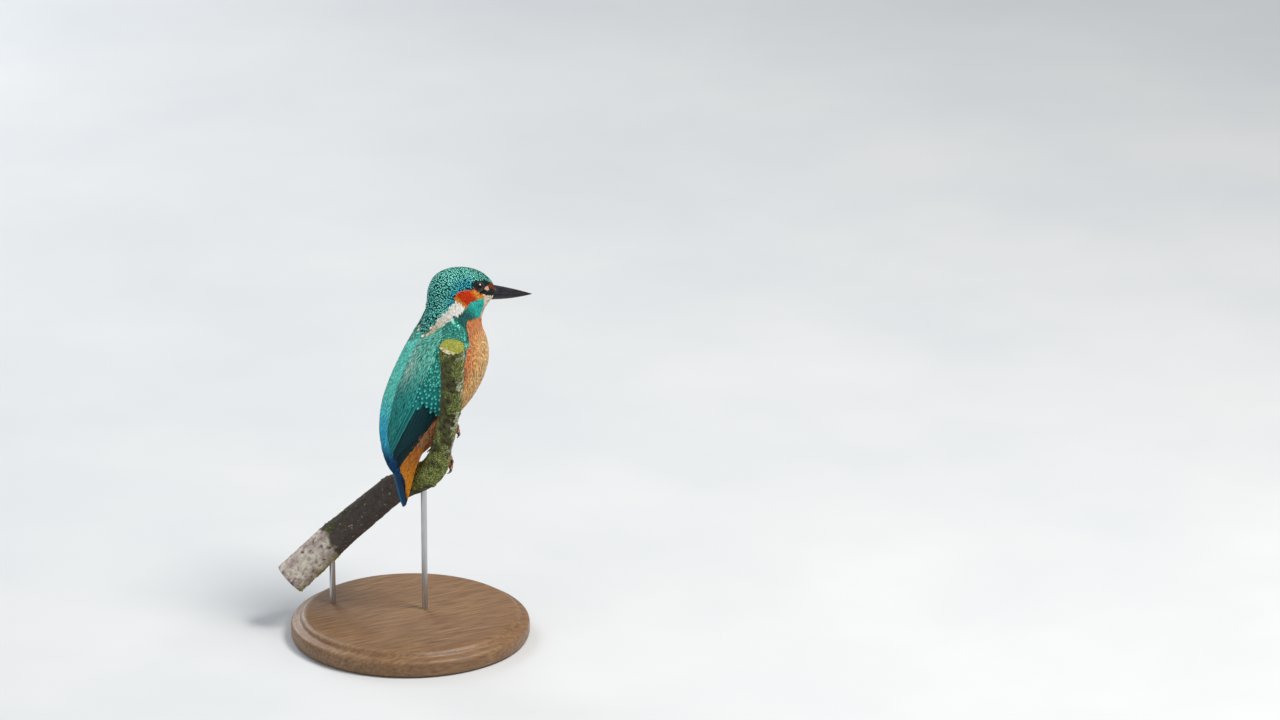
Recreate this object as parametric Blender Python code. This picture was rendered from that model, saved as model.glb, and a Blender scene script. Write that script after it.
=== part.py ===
"""A common kingfisher (Alcedo atthis), life size, gripping a cut branch on a small display stand.

The bird faces +X and is mirrored about the plane Y = 0, apart from its turned head, its wings' rest
on the body and its feet, which hold a slanting branch at its right side. The world origin is the
middle of the stand's underside. Shapes are worked out in millimetres in the bird's own frame, whose
origin is BIRD above the world's, and are scaled to metres when a mesh is made.
"""

import bpy
import bmesh
import numpy as np

# ---------------------------------------------------------------- driving dimensions, millimetres
MM = 0.001
BIRD = np.array([22.0, 0.0, 96.0])
GAP = 0.3

HEAD_TURN = np.radians(7.0)
TURN_AXIS_X = 2.0
TURN_FROM_Z = 58.0
TURN_TO_Z = 70.0

# Rings of the head, neck and trunk, from the bill's base to the last under-tail coverts. Each ring lies
# in the plane through its back point (x, z) and its breast point (x, z), square to Y = 0.
# back x, back z, breast x, breast z, half width, roundness of the back half, roundness of the breast half
RINGS = [
    (27.6, 80.4, 25.3, 74.4, 3.4, 2.0, 2.0),
    (25.6, 84.2, 23.3, 73.3, 5.0, 2.0, 2.0),
    (20.5, 89.2, 21.0, 71.9, 7.8, 2.0, 2.0),
    (13.0, 92.8, 19.2, 70.0, 10.0, 2.0, 2.0),
    (4.0, 94.0, 18.0, 67.6, 11.6, 2.1, 2.0),
    (-4.0, 92.0, 17.8, 64.8, 12.4, 2.1, 2.0),
    (-8.4, 86.0, 18.4, 61.6, 13.0, 2.1, 2.0),
    (-10.2, 78.0, 19.8, 58.0, 14.2, 2.1, 2.1),
    (-12.2, 69.5, 20.8, 53.6, 16.0, 2.2, 2.1),
    (-16.0, 60.8, 20.9, 48.4, 18.0, 2.4, 2.1),
    (-21.1, 51.5, 19.6, 42.6, 19.2, 2.35, 2.1),
    (-25.8, 42.0, 16.6, 35.8, 19.4, 2.4, 2.1),
    (-29.9, 32.5, 11.7, 28.6, 18.6, 2.55, 2.1),
    (-32.9, 23.0, 5.0, 21.8, 16.8, 2.7, 2.1),
    (-34.4, 13.5, -2.8, 14.0, 14.2, 2.6, 2.1),
    (-34.3, 4.5, -10.3, 5.4, 11.2, 2.5, 2.1),
    (-32.0, -4.6, -16.6, -3.0, 8.4, 2.4, 2.1),
    (-27.7, -12.2, -20.6, -11.5, 6.0, 2.2, 2.1),
    (-26.0, -20.2, -22.6, -19.5, 3.4, 2.0, 2.0),
    (-24.9, -24.8, -23.4, -24.6, 1.5, 2.0, 2.0),
]
HEAD_ENDS_AT = 5.5
NECK_ENDS_AT = 8.2
RING_SIDES = 30

# The folded wing over those rings: ring number, and the angles from the back's middle line of the edge
# along the back and of the edge along the flank, in degrees.
WING = [
    (7.34, 50, 59), (7.56, 43, 67), (7.85, 36, 73), (8.19, 28, 78), (8.57, 18, 81), (8.86, 9, 82),
    (9.36, 5, 84), (10.26, 3.5, 87), (11.16, 3.5, 88), (12.06, 4.5, 88), (12.78, 5.5, 87.5),
    (13.32, 7, 85), (13.77, 10, 78), (14.22, 15.5, 68), (14.67, 24, 50), (15.21, 33, 38),
]
WING_EDGE = 0.7
WING_MIDDLE = 2.3
WING_STANDS_OFF = 0.35

# The tail, a stack of folded feathers: x, z, half width, half thickness
TAIL = [
    (-31.9, 1.0, 3.6, 0.6),
    (-31.0, -1.6, 4.6, 0.8),
    (-29.9, -6.4, 5.2, 0.9),
    (-28.6, -12.1, 5.1, 0.8),
    (-27.2, -18.4, 4.4, 0.7),
    (-26.0, -23.4, 3.1, 0.6),
    (-25.0, -27.1, 1.2, 0.4),
]
TAIL_DROOP = 0.7

BILL_TOP = (28.1, 80.6)
BILL_BOTTOM = (25.8, 73.9)
BILL_TIP = (50.8, 71.5)
BILL_HALF_WIDTH = 3.3
GAPE_SHARE = 0.52

EYE_CENTRE = (13.7, 7.6, 84.9)
EYE_RADIUS = 3.1

# The branch's middle line, from its cut top to its lower end: x, y, z, radius
BRANCH = [
    (-22.0, -47.5, 72.7, 6.2), (-19.1, -41.2, 58.0, 5.9), (-16.2, -34.2, 41.9, 5.5),
    (-14.9, -28.8, 29.3, 5.2), (-13.8, -22.3, 16.4, 5.1), (-13.4, -17.4, 8.0, 5.2),
    (-12.3, -12.9, 0.4, 5.9), (-12.3, -6.7, -7.3, 6.6), (-14.2, 2.4, -14.0, 7.0),
    (-18.2, 12.8, -20.4, 7.0), (-25.5, 18.2, -26.5, 7.3), (-38.3, 23.9, -38.3, 7.7),
    (-54.1, 30.4, -53.1, 8.1), (-71.1, 36.8, -69.9, 8.3),
]
BRANCH_SIDES = 16
CUT_LEAN = np.radians(9.0)
TOE_ROOM = 2.7

# Each foot: how far along the branch from its cut top, where its leg leaves the body, and how many degrees
# round the branch its ankle sits from the point nearest that leg
FEET = {"right": (59.5, (-9.2, -12.7, 21.0), 8.0), "left": (84.5, (-7.6, 4.2, 9.6), 30.0)}
TOE_RADIUS = 1.0
TOE_SPACING = 1.75
# Each toe: place across the foot, degrees it runs round the branch (minus is backwards)
TOES = {"inner": (1.0, 52.0), "middle": (0.0, 82.0), "outer": (-1.0, 70.0), "hind": (0.1, -40.0)}
CLAW_LENGTH = 3.3
CLAW_RADIUS = 0.62

BASE_RADIUS = 60.0
BASE_HEIGHT = 12.0
ROD_RADIUS = 1.5
ROD_SOCKET = 8.0
RODS = {"front": 100.0, "rear": 163.0}


# ---------------------------------------------------------------- a clean scene and shared helpers
for leftover in list(bpy.data.objects):
    bpy.data.objects.remove(leftover, do_unlink=True)


def paint(name, colour, roughness, metallic=0.0):
    """A Principled material of one colour."""
    material = bpy.data.materials.new(name)
    material.use_nodes = True
    shader = material.node_tree.nodes["Principled BSDF"]
    shader.inputs["Base Color"].default_value = (*colour, 1.0)
    shader.inputs["Roughness"].default_value = roughness
    shader.inputs["Metallic"].default_value = metallic
    material.diffuse_color = (*colour, 1.0)
    return material


def rows_at(rows, u):
    """Smooth (Catmull-Rom) values between the rows of a table, at row numbers u."""
    rows = np.asarray(rows, float)
    last = len(rows) - 1
    u = np.clip(np.atleast_1d(np.asarray(u, float)), 0.0, last - 1e-9)
    i = u.astype(int)
    f = (u - i)[:, None]
    b = rows[i]
    c = rows[i + 1]
    a = np.where((i == 0)[:, None], 2 * b - c, rows[np.maximum(i - 1, 0)])
    d = np.where((i == last - 1)[:, None], 2 * c - b, rows[np.minimum(i + 2, last)])
    return 0.5 * (2 * b + (c - a) * f + (2 * a - 5 * b + 4 * c - d) * f**2 + (3 * b - a - 3 * c + d) * f**3)


def unit(v):
    v = np.asarray(v, float)
    return v / np.linalg.norm(v, axis=-1, keepdims=True)


def add_object(name, points, faces, material=None, smooth_angle=40.0):
    """One mesh object from millimetre points in the bird's frame, its faces turned outwards."""
    mesh = bpy.data.meshes.new(name)
    mesh.from_pydata([tuple(p) for p in (points + BIRD) * MM], [], [tuple(map(int, f)) for f in faces])
    work = bmesh.new()
    work.from_mesh(mesh)
    if work.calc_volume(signed=True) < 0:
        bmesh.ops.reverse_faces(work, faces=work.faces)
    work.to_mesh(mesh)
    work.free()
    mesh.shade_smooth()
    mesh.set_sharp_from_angle(angle=np.radians(smooth_angle))
    made = bpy.data.objects.new(name, mesh)
    bpy.context.scene.collection.objects.link(made)
    if material is None:
        made.hide_render = True
        made.display_type = "WIRE"
    else:
        mesh.materials.append(material)
    return made


def tube(name, rings, material=None, smooth_angle=40.0):
    """A closed solid through rings of points, shaped (rings, sides, 3), with a flat cap at each end."""
    count, sides, _ = rings.shape
    faces = []
    for i in range(count - 1):
        for j in range(sides):
            k = (j + 1) % sides
            faces.append((i * sides + j, i * sides + k, (i + 1) * sides + k, (i + 1) * sides + j))
    faces.append(tuple(range(sides - 1, -1, -1)))
    faces.append(tuple(range((count - 1) * sides, count * sides)))
    return add_object(name, rings.reshape(-1, 3), faces, material, smooth_angle)


def swept(path, radii, sides):
    """Round rings square to a path, turned as little as possible from one to the next."""
    path = np.asarray(path, float)
    along = unit(np.gradient(path, axis=0))
    side = unit(np.cross(along[0], (0.3, 1.0, 0.2)))
    angle = np.arange(sides) * 2 * np.pi / sides
    rings = []
    for centre, way, radius in zip(path, along, radii):
        side = unit(side - way * np.dot(side, way))
        other = np.cross(way, side)
        rings.append(centre + radius * (np.cos(angle)[:, None] * side + np.sin(angle)[:, None] * other))
    return np.array(rings)


def boolean(target, other, operation="DIFFERENCE", solver="EXACT"):
    """Cuts a helper from the target, or joins it on, and keeps the helper out of the render."""
    modifier = target.modifiers.new(f"{operation.lower()} {other.name}", "BOOLEAN")
    modifier.operation = operation
    modifier.solver = solver
    modifier.object = other
    other.hide_render = True
    other.display_type = "WIRE"


# ---------------------------------------------------------------- the branch's run
def branch_rows(count):
    """The branch's middle points and radii, evenly spaced along it, and its length."""
    fine = rows_at(BRANCH, np.linspace(0, len(BRANCH) - 1, 600))
    run = np.concatenate([[0], np.cumsum(np.linalg.norm(np.diff(fine[:, :3], axis=0), axis=1))])
    at = np.linspace(0, run[-1], count)
    even = np.stack([np.interp(at, run, fine[:, i]) for i in range(4)], axis=1)
    return even[:, :3], even[:, 3], run[-1]


def branch_at(distance):
    """Middle point, direction towards the cut top, and radius at a distance from the cut top."""
    points, radii, length = branch_rows(400)
    at = np.linspace(0, length, 400)
    middle = np.array([np.interp(distance, at, points[:, i]) for i in range(3)])
    ahead = np.array([np.interp(distance - 2, at, points[:, i]) for i in range(3)])
    return middle, unit(ahead - middle), np.interp(distance, at, radii)


def clear_of_branch(points):
    """Moves points below the wings that lie too near the branch straight out from it, to leave the toes room."""
    middles, radii, _ = branch_rows(160)
    flat = points.reshape(-1, 3)
    offset = flat[:, None] - middles[None]
    distance = np.linalg.norm(offset, axis=2)
    nearest = np.argmin(distance - radii[None], axis=1)
    index = np.arange(len(flat))
    far = distance[index, nearest]
    below_wing = np.clip((14.0 - flat[:, 2]) / 6.0, 0.0, 1.0)
    limit = radii[nearest] + TOE_ROOM * below_wing
    excess = (far - limit) / 1.5
    moved = limit + 1.5 * 0.5 * (excess + np.sqrt(excess**2 + 0.1))
    away = offset[index, nearest] / far[:, None]
    return (middles[nearest] + away * moved[:, None]).reshape(points.shape)


# ---------------------------------------------------------------- the body's surface
def body(u, angle, out=0.0):
    """Points of the coat's outer surface at ring numbers u and angles from the back's middle line.

    Each ring is a pair of half superellipses; `out` moves a point outwards within its ring's plane.
    """
    row = rows_at(RINGS, u)
    back = row[:, 0:2]
    breast = row[:, 2:4]
    middle = (back + breast) / 2
    upward = unit(back - breast)
    reach = np.linalg.norm(back - middle, axis=1)[:, None] + out
    width = row[:, 4][:, None] + out
    cos = np.cos(angle)
    sin = np.sin(angle)
    power = 2 / np.where(cos >= 0, row[:, 5][:, None], row[:, 6][:, None])
    lift = reach * np.sign(cos) * np.abs(cos) ** power
    across = width * np.sign(sin) * np.abs(sin) ** power
    return np.stack([
        middle[:, :1] + lift * upward[:, :1],
        across,
        middle[:, 1:] + lift * upward[:, 1:],
    ], axis=-1)


def turned(points):
    """The head's turn to the left: none under the neck, full over it."""
    points = np.asarray(points, float)
    f = np.clip((points[..., 2] - TURN_FROM_Z) / (TURN_TO_Z - TURN_FROM_Z), 0.0, 1.0)
    a = HEAD_TURN * f * f * (3 - 2 * f)
    x = points[..., 0] - TURN_AXIS_X
    y = points[..., 1]
    return np.stack([TURN_AXIS_X + x * np.cos(a) - y * np.sin(a), x * np.sin(a) + y * np.cos(a), points[..., 2]], -1)


ORANGE = paint("orange_plumage", (0.80, 0.30, 0.07), 0.85)
TEAL = paint("teal_plumage", (0.02, 0.33, 0.32), 0.7)
BLUE = paint("blue_plumage", (0.02, 0.16, 0.36), 0.7)
HORN = paint("bill_horn", (0.02, 0.018, 0.022), 0.35)
EYE = paint("eye", (0.01, 0.006, 0.004), 0.08)
SKIN = paint("foot_skin", (0.78, 0.16, 0.07), 0.55)
CLAW = paint("claw_horn", (0.03, 0.025, 0.02), 0.4)
BARK = paint("bark", (0.20, 0.19, 0.11), 0.9)
OAK = paint("oak", (0.30, 0.17, 0.08), 0.5)
STEEL = paint("steel", (0.55, 0.56, 0.58), 0.3, 1.0)


def body_length(name, start, end, material):
    """The head, neck or trunk: the body's rings from one ring number to another."""
    angles = (np.arange(RING_SIDES) + 0.37) * 2 * np.pi / RING_SIDES
    u = np.linspace(start, end, int(round((end - start) * 2)) + 1)
    return tube(name, clear_of_branch(turned(body(u, angles))), material)


HALF_CUT = 0.05
head = body_length("head", 0.0, HEAD_ENDS_AT - HALF_CUT, TEAL)
neck = body_length("neck", HEAD_ENDS_AT + HALF_CUT, NECK_ENDS_AT - HALF_CUT, TEAL)
trunk = body_length("trunk", NECK_ENDS_AT + HALF_CUT, len(RINGS) - 1, ORANGE)


# ---------------------------------------------------------------- the wings
def wing_shell(name, side, spare, material=None):
    """A folded wing: a lens-edged shell that follows the body. `spare` swells it, for a cutter."""
    lengths = 20
    strips = 7
    p = np.linspace(0, len(WING) - 1, lengths)
    row = rows_at(WING, p)
    u = row[:, 0]
    grow = np.degrees(spare / 17.0)
    q = np.linspace(0, 1, strips)
    angle = np.radians((row[:, 1] - grow)[:, None] * (1 - q) + (row[:, 2] + grow)[:, None] * q)
    ends = 1 - np.abs(2 * p / p[-1] - 1) ** 8
    bow = (1 - np.abs(2 * q - 1) ** 4)[None] * ends[:, None]
    lip = WING_STANDS_OFF * np.clip((u - 10) / 3, 0, 1)[:, None] * q[None] ** 2
    outer = WING_EDGE / 2 + lip + 0.35 * bow + spare * 8
    inner = WING_EDGE / 2 - WING_EDGE + lip - (WING_MIDDLE - WING_EDGE) * bow - spare
    if spare:
        u = u + np.linspace(-spare, spare, lengths) / 8.0
    sheets = [[body([k], a[None], o[None])[0] for k, a, o in zip(u, angle, out)] for out in (outer, inner)]
    points = turned(np.array(sheets).reshape(-1, 3) * (1, side, 1))
    faces = []
    under = lengths * strips
    for i in range(lengths - 1):
        for j in range(strips - 1):
            a = i * strips + j
            faces.append((a, a + 1, a + strips + 1, a + strips))
            faces.append((under + a, under + a + strips, under + a + strips + 1, under + a + 1))
    rim = [(i, 0) for i in range(lengths)] + [(lengths - 1, j) for j in range(1, strips)]
    rim += [(i, strips - 1) for i in range(lengths - 2, -1, -1)] + [(0, j) for j in range(strips - 2, 0, -1)]
    rim = [i * strips + j for i, j in rim]
    for a, b in zip(rim, rim[1:] + rim[:1]):
        faces.append((a, b, under + b, under + a))
    return add_object(name, points, faces, material)


wings = {}
for side_name, side in (("left", 1), ("right", -1)):
    wings[side_name] = wing_shell(f"wing_{side_name}", side, 0.0, TEAL)
    cutter = wing_shell(f"cutter_wing_{side_name}", side, GAP)
    boolean(neck, cutter)
    boolean(trunk, cutter, solver="MANIFOLD")


# ---------------------------------------------------------------- the tail
def tail_plate(name, spare, material=None):
    """A flat stack of feathers with drooping edges and a rounded tip."""
    row = rows_at(TAIL, np.linspace(0, len(TAIL) - 1, 13))
    along = unit(np.gradient(row[:, 0:2], axis=0))
    behind = np.stack([along[:, 1], -along[:, 0]], axis=1)
    across = np.linspace(-1, 1, 7)
    half = (row[:, 2] + spare)[:, None] * across[None]
    thick = (row[:, 3] + spare)[:, None] * np.sqrt(1 - 0.75 * across[None] ** 2)
    rings = []
    for sign in (1, -1):
        lift = sign * thick - TAIL_DROOP * across[None] ** 2
        x = row[:, :1] + behind[:, :1] * lift
        z = row[:, 1:2] + behind[:, 1:] * lift
        rings.append(np.stack([x, half, z], axis=-1)[:, ::sign])
    return tube(name, np.concatenate(rings, axis=1), material)


tail = tail_plate("tail", 0.0, BLUE)
boolean(trunk, tail_plate("cutter_tail", GAP), solver="MANIFOLD")


# ---------------------------------------------------------------- the bill and the eyes
def bill_half(name, is_upper, material):
    """One mandible: a straight-edged dagger half, round outside and flat along the gape."""
    u = np.linspace(0, 1, 9)
    tip = np.array(BILL_TIP)
    ridge = np.array(BILL_TOP if is_upper else BILL_BOTTOM)
    gape = np.array(BILL_BOTTOM) + (np.array(BILL_TOP) - BILL_BOTTOM) * GAPE_SHARE
    bulge = 0.35 if is_upper else 0.75
    sign = 1 if is_upper else -1
    fullness = (1 - u) ** 0.92
    mouth = tip + (gape - tip) * (1 - u)[:, None]
    edge = tip + (ridge - tip) * (1 - u)[:, None]
    edge[:, 1] += sign * bulge * np.sin(np.pi * u) ** 0.8
    depth = (edge - mouth) + np.array([0.0, sign * 0.12]) * u[:, None]
    mouth = mouth + np.array([0.0, sign * GAP / 2])
    turn = np.linspace(0, np.pi, 9)
    width = BILL_HALF_WIDTH * fullness + 0.25
    x = mouth[:, :1] + depth[:, :1] * np.sin(turn)[None] ** 0.9
    y = width[:, None] * np.cos(turn)[None]
    z = mouth[:, 1:] + depth[:, 1:] * np.sin(turn)[None] ** 0.9
    return tube(name, turned(np.stack([x, y, z], axis=-1)), material)


bill_half("bill_upper", True, HORN)
bill_half("bill_lower", False, HORN)


def ball(name, centre, radius, material=None, rings=8, sides=12):
    """A sphere with its poles on the Y axis, closed by two small caps."""
    lat = np.linspace(-np.pi / 2 + 0.12, np.pi / 2 - 0.12, rings)
    lon = np.arange(sides) * 2 * np.pi / sides
    x = centre[0] + radius * np.cos(lat)[:, None] * np.cos(lon)[None]
    y = centre[1] + radius * np.sin(lat)[:, None] * np.ones(sides)[None]
    z = centre[2] + radius * np.cos(lat)[:, None] * np.sin(lon)[None]
    return tube(name, np.stack([x, y, z], axis=-1), material)


for side_name, side in (("left", 1), ("right", -1)):
    centre = turned(np.array([EYE_CENTRE[0], side * EYE_CENTRE[1], EYE_CENTRE[2]]))
    ball(f"eye_{side_name}", centre, EYE_RADIUS, EYE)
    boolean(head, ball(f"cutter_eye_{side_name}", centre, EYE_RADIUS + GAP * 1.2))


# ---------------------------------------------------------------- the branch
def branch_solid():
    """The bark-covered branch, gently uneven, its top sawn at a slant."""
    points, radii, length = branch_rows(26)
    run = np.linspace(0, length, 26)
    uneven = 1 + 0.025 * np.sin(run / 7.0) + 0.02 * np.sin(run / 3.1 + 1)
    rings = swept(points, radii * uneven, BRANCH_SIDES)
    way = unit(points[0] - points[1])
    lean = unit(np.cross(way, (0, 0, 1)))
    cut = way * np.cos(CUT_LEAN) + np.cross(lean, way) * np.sin(CUT_LEAN)
    slip = (rings[0] - points[0]) @ cut / (way @ cut)
    rings[0] -= slip[:, None] * way
    return tube("perch", rings, BARK, 35.0)


perch = branch_solid()


# ---------------------------------------------------------------- legs, feet and claws
def grip(foot, across, degrees, clear):
    """A path round the branch from the ankle, shifted along it, `clear` above the bark."""
    distance, root, turn = FEET[foot]
    middle, up, radius = branch_at(distance)
    towards = np.asarray(root) - middle
    near = unit(towards - up * np.dot(towards, up))
    ankle = near * np.cos(np.radians(turn)) + np.cross(near, up) * np.sin(np.radians(turn))
    onward = np.cross(ankle, up)
    angle = np.radians(np.asarray(degrees, float))[:, None]
    shift = np.asarray(across, float).reshape(-1, 1) * up
    return middle + shift + (radius * 1.05 + clear) * (np.cos(angle) * ankle + np.sin(angle) * onward)


def toe_path(foot, toe, clear, start, end, count):
    """A toe's path: it spreads from the ankle, runs round the branch and slants down it."""
    across, reach = TOES[toe]
    degrees = reach * np.linspace(start, end, count)
    spread = TOE_SPACING * across * np.clip(degrees / 25 + 0.35, 0, 1)
    slant = -np.sign(reach) * 1.0 * (degrees / 90) ** 2
    return grip(foot, spread + slant, degrees, clear)


def toe_tube(name, foot, toe, spare=0.0, material=None):
    path = toe_path(foot, toe, TOE_RADIUS + GAP, -0.06, 1.0, 9)
    radii = TOE_RADIUS * np.array([0.7, 1.0, 1.08, 1.0, 0.96, 1.02, 0.94, 0.9, 0.55]) + spare
    return tube(name, swept(path, radii, 7), material)


for foot, (distance, root, _) in FEET.items():
    parts = ["middle", "inner", "outer", "hind"]
    made = toe_tube(f"foot_{foot}", foot, "middle", 0.0, SKIN)
    for toe in parts[1:]:
        boolean(made, toe_tube(f"join_{foot}_{toe}", foot, toe), "UNION")
    ankle = grip(foot, [0.0], [0.0], TOE_RADIUS + GAP)[0]
    outwards = unit(ankle - branch_at(distance)[0])
    knuckle = ankle + outwards * np.array([[-0.5], [0.3], [1.3]])
    boolean(made, tube(f"join_{foot}_knuckle", swept(knuckle, [1.25, 1.4, 1.2], 7)), "UNION")
    start = ankle + outwards * (1.3 + GAP * 1.3)
    bend = start + outwards * 0.6
    rise = np.linspace(0, 1, 6)[1:, None]
    route = (1 - rise) ** 2 * bend + 2 * rise * (1 - rise) * (bend + outwards) + rise**2 * np.asarray(root)
    route = np.concatenate([[start, bend], route])
    length = np.linalg.norm(np.diff(route, axis=0), axis=1).sum()
    girth = np.array([1.1, 1.15, 1.2, 1.35, 1.6, 1.9, 2.0]) * min(1.0, 0.4 + 0.05 * length)
    tube(f"leg_{foot}", swept(route, girth, 10), SKIN)
    past = route[-1] + unit(route[-1] - route[-2]) * GAP * 1.5
    pocket = swept(np.concatenate([route, [past]]), np.append(girth, girth[-1]) + GAP * 1.4, 10)
    boolean(trunk, tube(f"cutter_leg_{foot}", pocket), solver="MANIFOLD")
    for toe in parts:
        beyond = 1 + np.degrees(np.linspace(0.45, CLAW_LENGTH, 7) / 7.2) / abs(TOES[toe][1])
        heights = TOE_RADIUS * np.array([1.0, 1.12, 1.1, 0.98, 0.8, 0.55, 0.25]) + GAP * 1.4
        claw = np.array([toe_path(foot, toe, h, b, b, 1)[0] for h, b in zip(heights, beyond)])
        thin = CLAW_RADIUS * np.array([0.95, 1.0, 0.88, 0.72, 0.55, 0.38, 0.2])
        tube(f"claw_{foot}_{toe}", swept(claw, thin, 6), CLAW)


# ---------------------------------------------------------------- the display stand
def turned_disc(name, profile, material, sides=32):
    """A lathe shape about the world's Z axis from (radius, height) pairs, in the world's millimetres."""
    angle = np.arange(sides) * 2 * np.pi / sides
    circle = np.stack([np.cos(angle), np.sin(angle), np.zeros(sides)], axis=-1)
    rings = np.array([circle * r + (0, 0, z) for r, z in profile]) - BIRD
    return tube(name, rings, material, 30.0)


def upright(name, x, y, low, high, radius, material=None, sides=14):
    """A vertical cylinder, placed in the world's millimetres."""
    path = np.array([[x, y, low], [x, y, (low + high) / 2], [x, y, high]]) - BIRD
    return tube(name, swept(path, [radius] * 3, sides), material)


base = turned_disc("stand_base", [
    (BASE_RADIUS - 1.5, 0.0), (BASE_RADIUS, 1.5), (BASE_RADIUS, 7.0), (BASE_RADIUS - 1.2, 8.6),
    (BASE_RADIUS - 4.5, 9.4), (BASE_RADIUS - 5.5, 10.6), (BASE_RADIUS - 7.5, BASE_HEIGHT),
], OAK)

for rod, distance in RODS.items():
    middle, _, radius = branch_at(distance)
    x, y, z = middle + BIRD
    top = z + 1.5
    foot_z = BASE_HEIGHT - ROD_SOCKET
    upright(f"stand_rod_{rod}", x, y, foot_z, top, ROD_RADIUS, STEEL)
    boolean(base, upright(f"cutter_base_{rod}", x, y, foot_z - GAP, BASE_HEIGHT + 5, ROD_RADIUS + GAP))
    boolean(perch, upright(f"cutter_perch_{rod}", x, y, BASE_HEIGHT + 1, top + GAP, ROD_RADIUS + GAP))
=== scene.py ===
"""The looks of a life-size common kingfisher on its cut branch and display stand."""

import bpy
import numpy as np
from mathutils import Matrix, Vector


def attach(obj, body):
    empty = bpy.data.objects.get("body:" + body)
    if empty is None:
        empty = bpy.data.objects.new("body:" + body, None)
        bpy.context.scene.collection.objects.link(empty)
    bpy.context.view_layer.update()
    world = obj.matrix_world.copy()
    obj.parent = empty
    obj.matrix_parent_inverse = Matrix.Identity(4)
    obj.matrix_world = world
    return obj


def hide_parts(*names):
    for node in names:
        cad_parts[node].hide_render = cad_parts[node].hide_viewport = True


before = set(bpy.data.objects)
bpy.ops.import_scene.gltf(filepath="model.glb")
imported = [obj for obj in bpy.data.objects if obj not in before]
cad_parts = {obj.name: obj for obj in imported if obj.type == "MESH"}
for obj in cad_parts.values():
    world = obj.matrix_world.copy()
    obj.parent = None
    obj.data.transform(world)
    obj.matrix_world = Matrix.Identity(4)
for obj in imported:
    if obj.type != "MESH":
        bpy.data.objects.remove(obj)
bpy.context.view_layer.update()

# ---------------------------------------------------------------- the studio
# A plain pale floor under soft studio lamps: a large one high on the bird's front side, a wide weak one
# opposite and a strip over its back. The camera looks down at it a little, from its right side.
AZIMUTH = np.radians(-28.0)
ELEVATION = np.radians(20.0)
AIM = np.array([0.1138, -0.0318, 0.1373])
DISTANCE = 4.0

TO_CAMERA = np.array([
    np.sin(AZIMUTH) * np.cos(ELEVATION),
    -np.cos(AZIMUTH) * np.cos(ELEVATION),
    np.sin(ELEVATION),
])
RIGHTWARD = np.array([np.cos(AZIMUTH), np.sin(AZIMUTH), 0.0])
UPWARD = np.cross(TO_CAMERA, RIGHTWARD)


def aimed(name, data, place, target):
    """An object at a place, its -Z pointed at a target."""
    made = bpy.data.objects.new(name, data)
    made.location = place
    made.rotation_euler = (Vector(target) - Vector(place)).to_track_quat("-Z", "Y").to_euler()
    bpy.context.scene.collection.objects.link(made)
    return made


def lamp(name, rightward, upward, forward, width, height, watts, colour):
    """An area lamp, placed in metres from the bird: to the camera's right, up, and towards the camera."""
    data = bpy.data.lights.new(name, "AREA")
    data.shape = "RECTANGLE"
    data.size = width
    data.size_y = height
    data.energy = watts
    data.color = colour
    bird = np.array([0.02, -0.01, 0.13])
    aimed(name, data, bird + RIGHTWARD * rightward + UPWARD * upward + TO_CAMERA * forward, bird)


lens = bpy.data.cameras.new("camera")
lens.sensor_width = 36.0
lens.lens = 225.0
lens.clip_start = 0.05
lens.clip_end = 60.0
bpy.context.scene.camera = aimed("camera", lens, AIM + TO_CAMERA * DISTANCE, AIM)

lamp("lamp_key", rightward=0.75, upward=1.10, forward=0.75, width=0.55, height=0.55, watts=27.0,
     colour=(1.0, 0.97, 0.92))
lamp("lamp_fill", rightward=-1.2, upward=0.35, forward=0.9, width=1.4, height=1.2, watts=5.0,
     colour=(0.90, 0.95, 1.0))
lamp("lamp_back", rightward=-0.7, upward=1.0, forward=-0.9, width=0.6, height=1.2, watts=10.0,
     colour=(0.95, 0.98, 1.0))

sky = bpy.data.worlds.new("studio")
bpy.context.scene.world = sky
sky.use_nodes = True
sky.node_tree.nodes["Background"].inputs["Color"].default_value = (0.86, 0.90, 0.95, 1.0)
sky.node_tree.nodes["Background"].inputs["Strength"].default_value = 0.34
bpy.context.scene.view_settings.view_transform = "Standard"


def place(tree, kind, values=(), **settings):
    """A shader node. Each value is a number or colour for the named input, or a socket to link to it."""
    node = tree.nodes.new(kind)
    for key, setting in settings.items():
        setattr(node, key, setting)
    for key, value in dict(values).items():
        if isinstance(value, bpy.types.NodeSocket):
            tree.links.new(value, node.inputs[key])
        else:
            node.inputs[key].default_value = value
    return node


def blended(tree, share, first, second, kind="MIX"):
    """The colour socket of a mix of two colours."""
    node = tree.nodes.new("ShaderNodeMix")
    node.data_type = "RGBA"
    node.blend_type = kind
    for index, value in ((0, share), (6, first), (7, second)):
        if isinstance(value, bpy.types.NodeSocket):
            tree.links.new(value, node.inputs[index])
        else:
            node.inputs[index].default_value = value if index == 0 else (*value[:3], 1.0)
    return node.outputs[2]


def reckoned(tree, operation, first, second=0.0, clamp=False):
    """The value socket of one sum, product or other step."""
    node = tree.nodes.new("ShaderNodeMath")
    node.operation = operation
    node.use_clamp = clamp
    for index, value in ((0, first), (1, second)):
        if isinstance(value, bpy.types.NodeSocket):
            tree.links.new(value, node.inputs[index])
        else:
            node.inputs[index].default_value = value
    return node.outputs[0]


def ramped(tree, value, stops):
    """The colour socket of a ramp over a value. Each stop is a position and a grey or a colour."""
    node = tree.nodes.new("ShaderNodeValToRGB")
    while len(node.color_ramp.elements) < len(stops):
        node.color_ramp.elements.new(0.5)
    for element, (position, colour) in zip(node.color_ramp.elements, stops):
        element.position = position
        element.color = (*(colour if isinstance(colour, tuple) else (colour,) * 3), 1.0)
    tree.links.new(value, node.inputs[0])
    return node.outputs[0]


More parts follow.
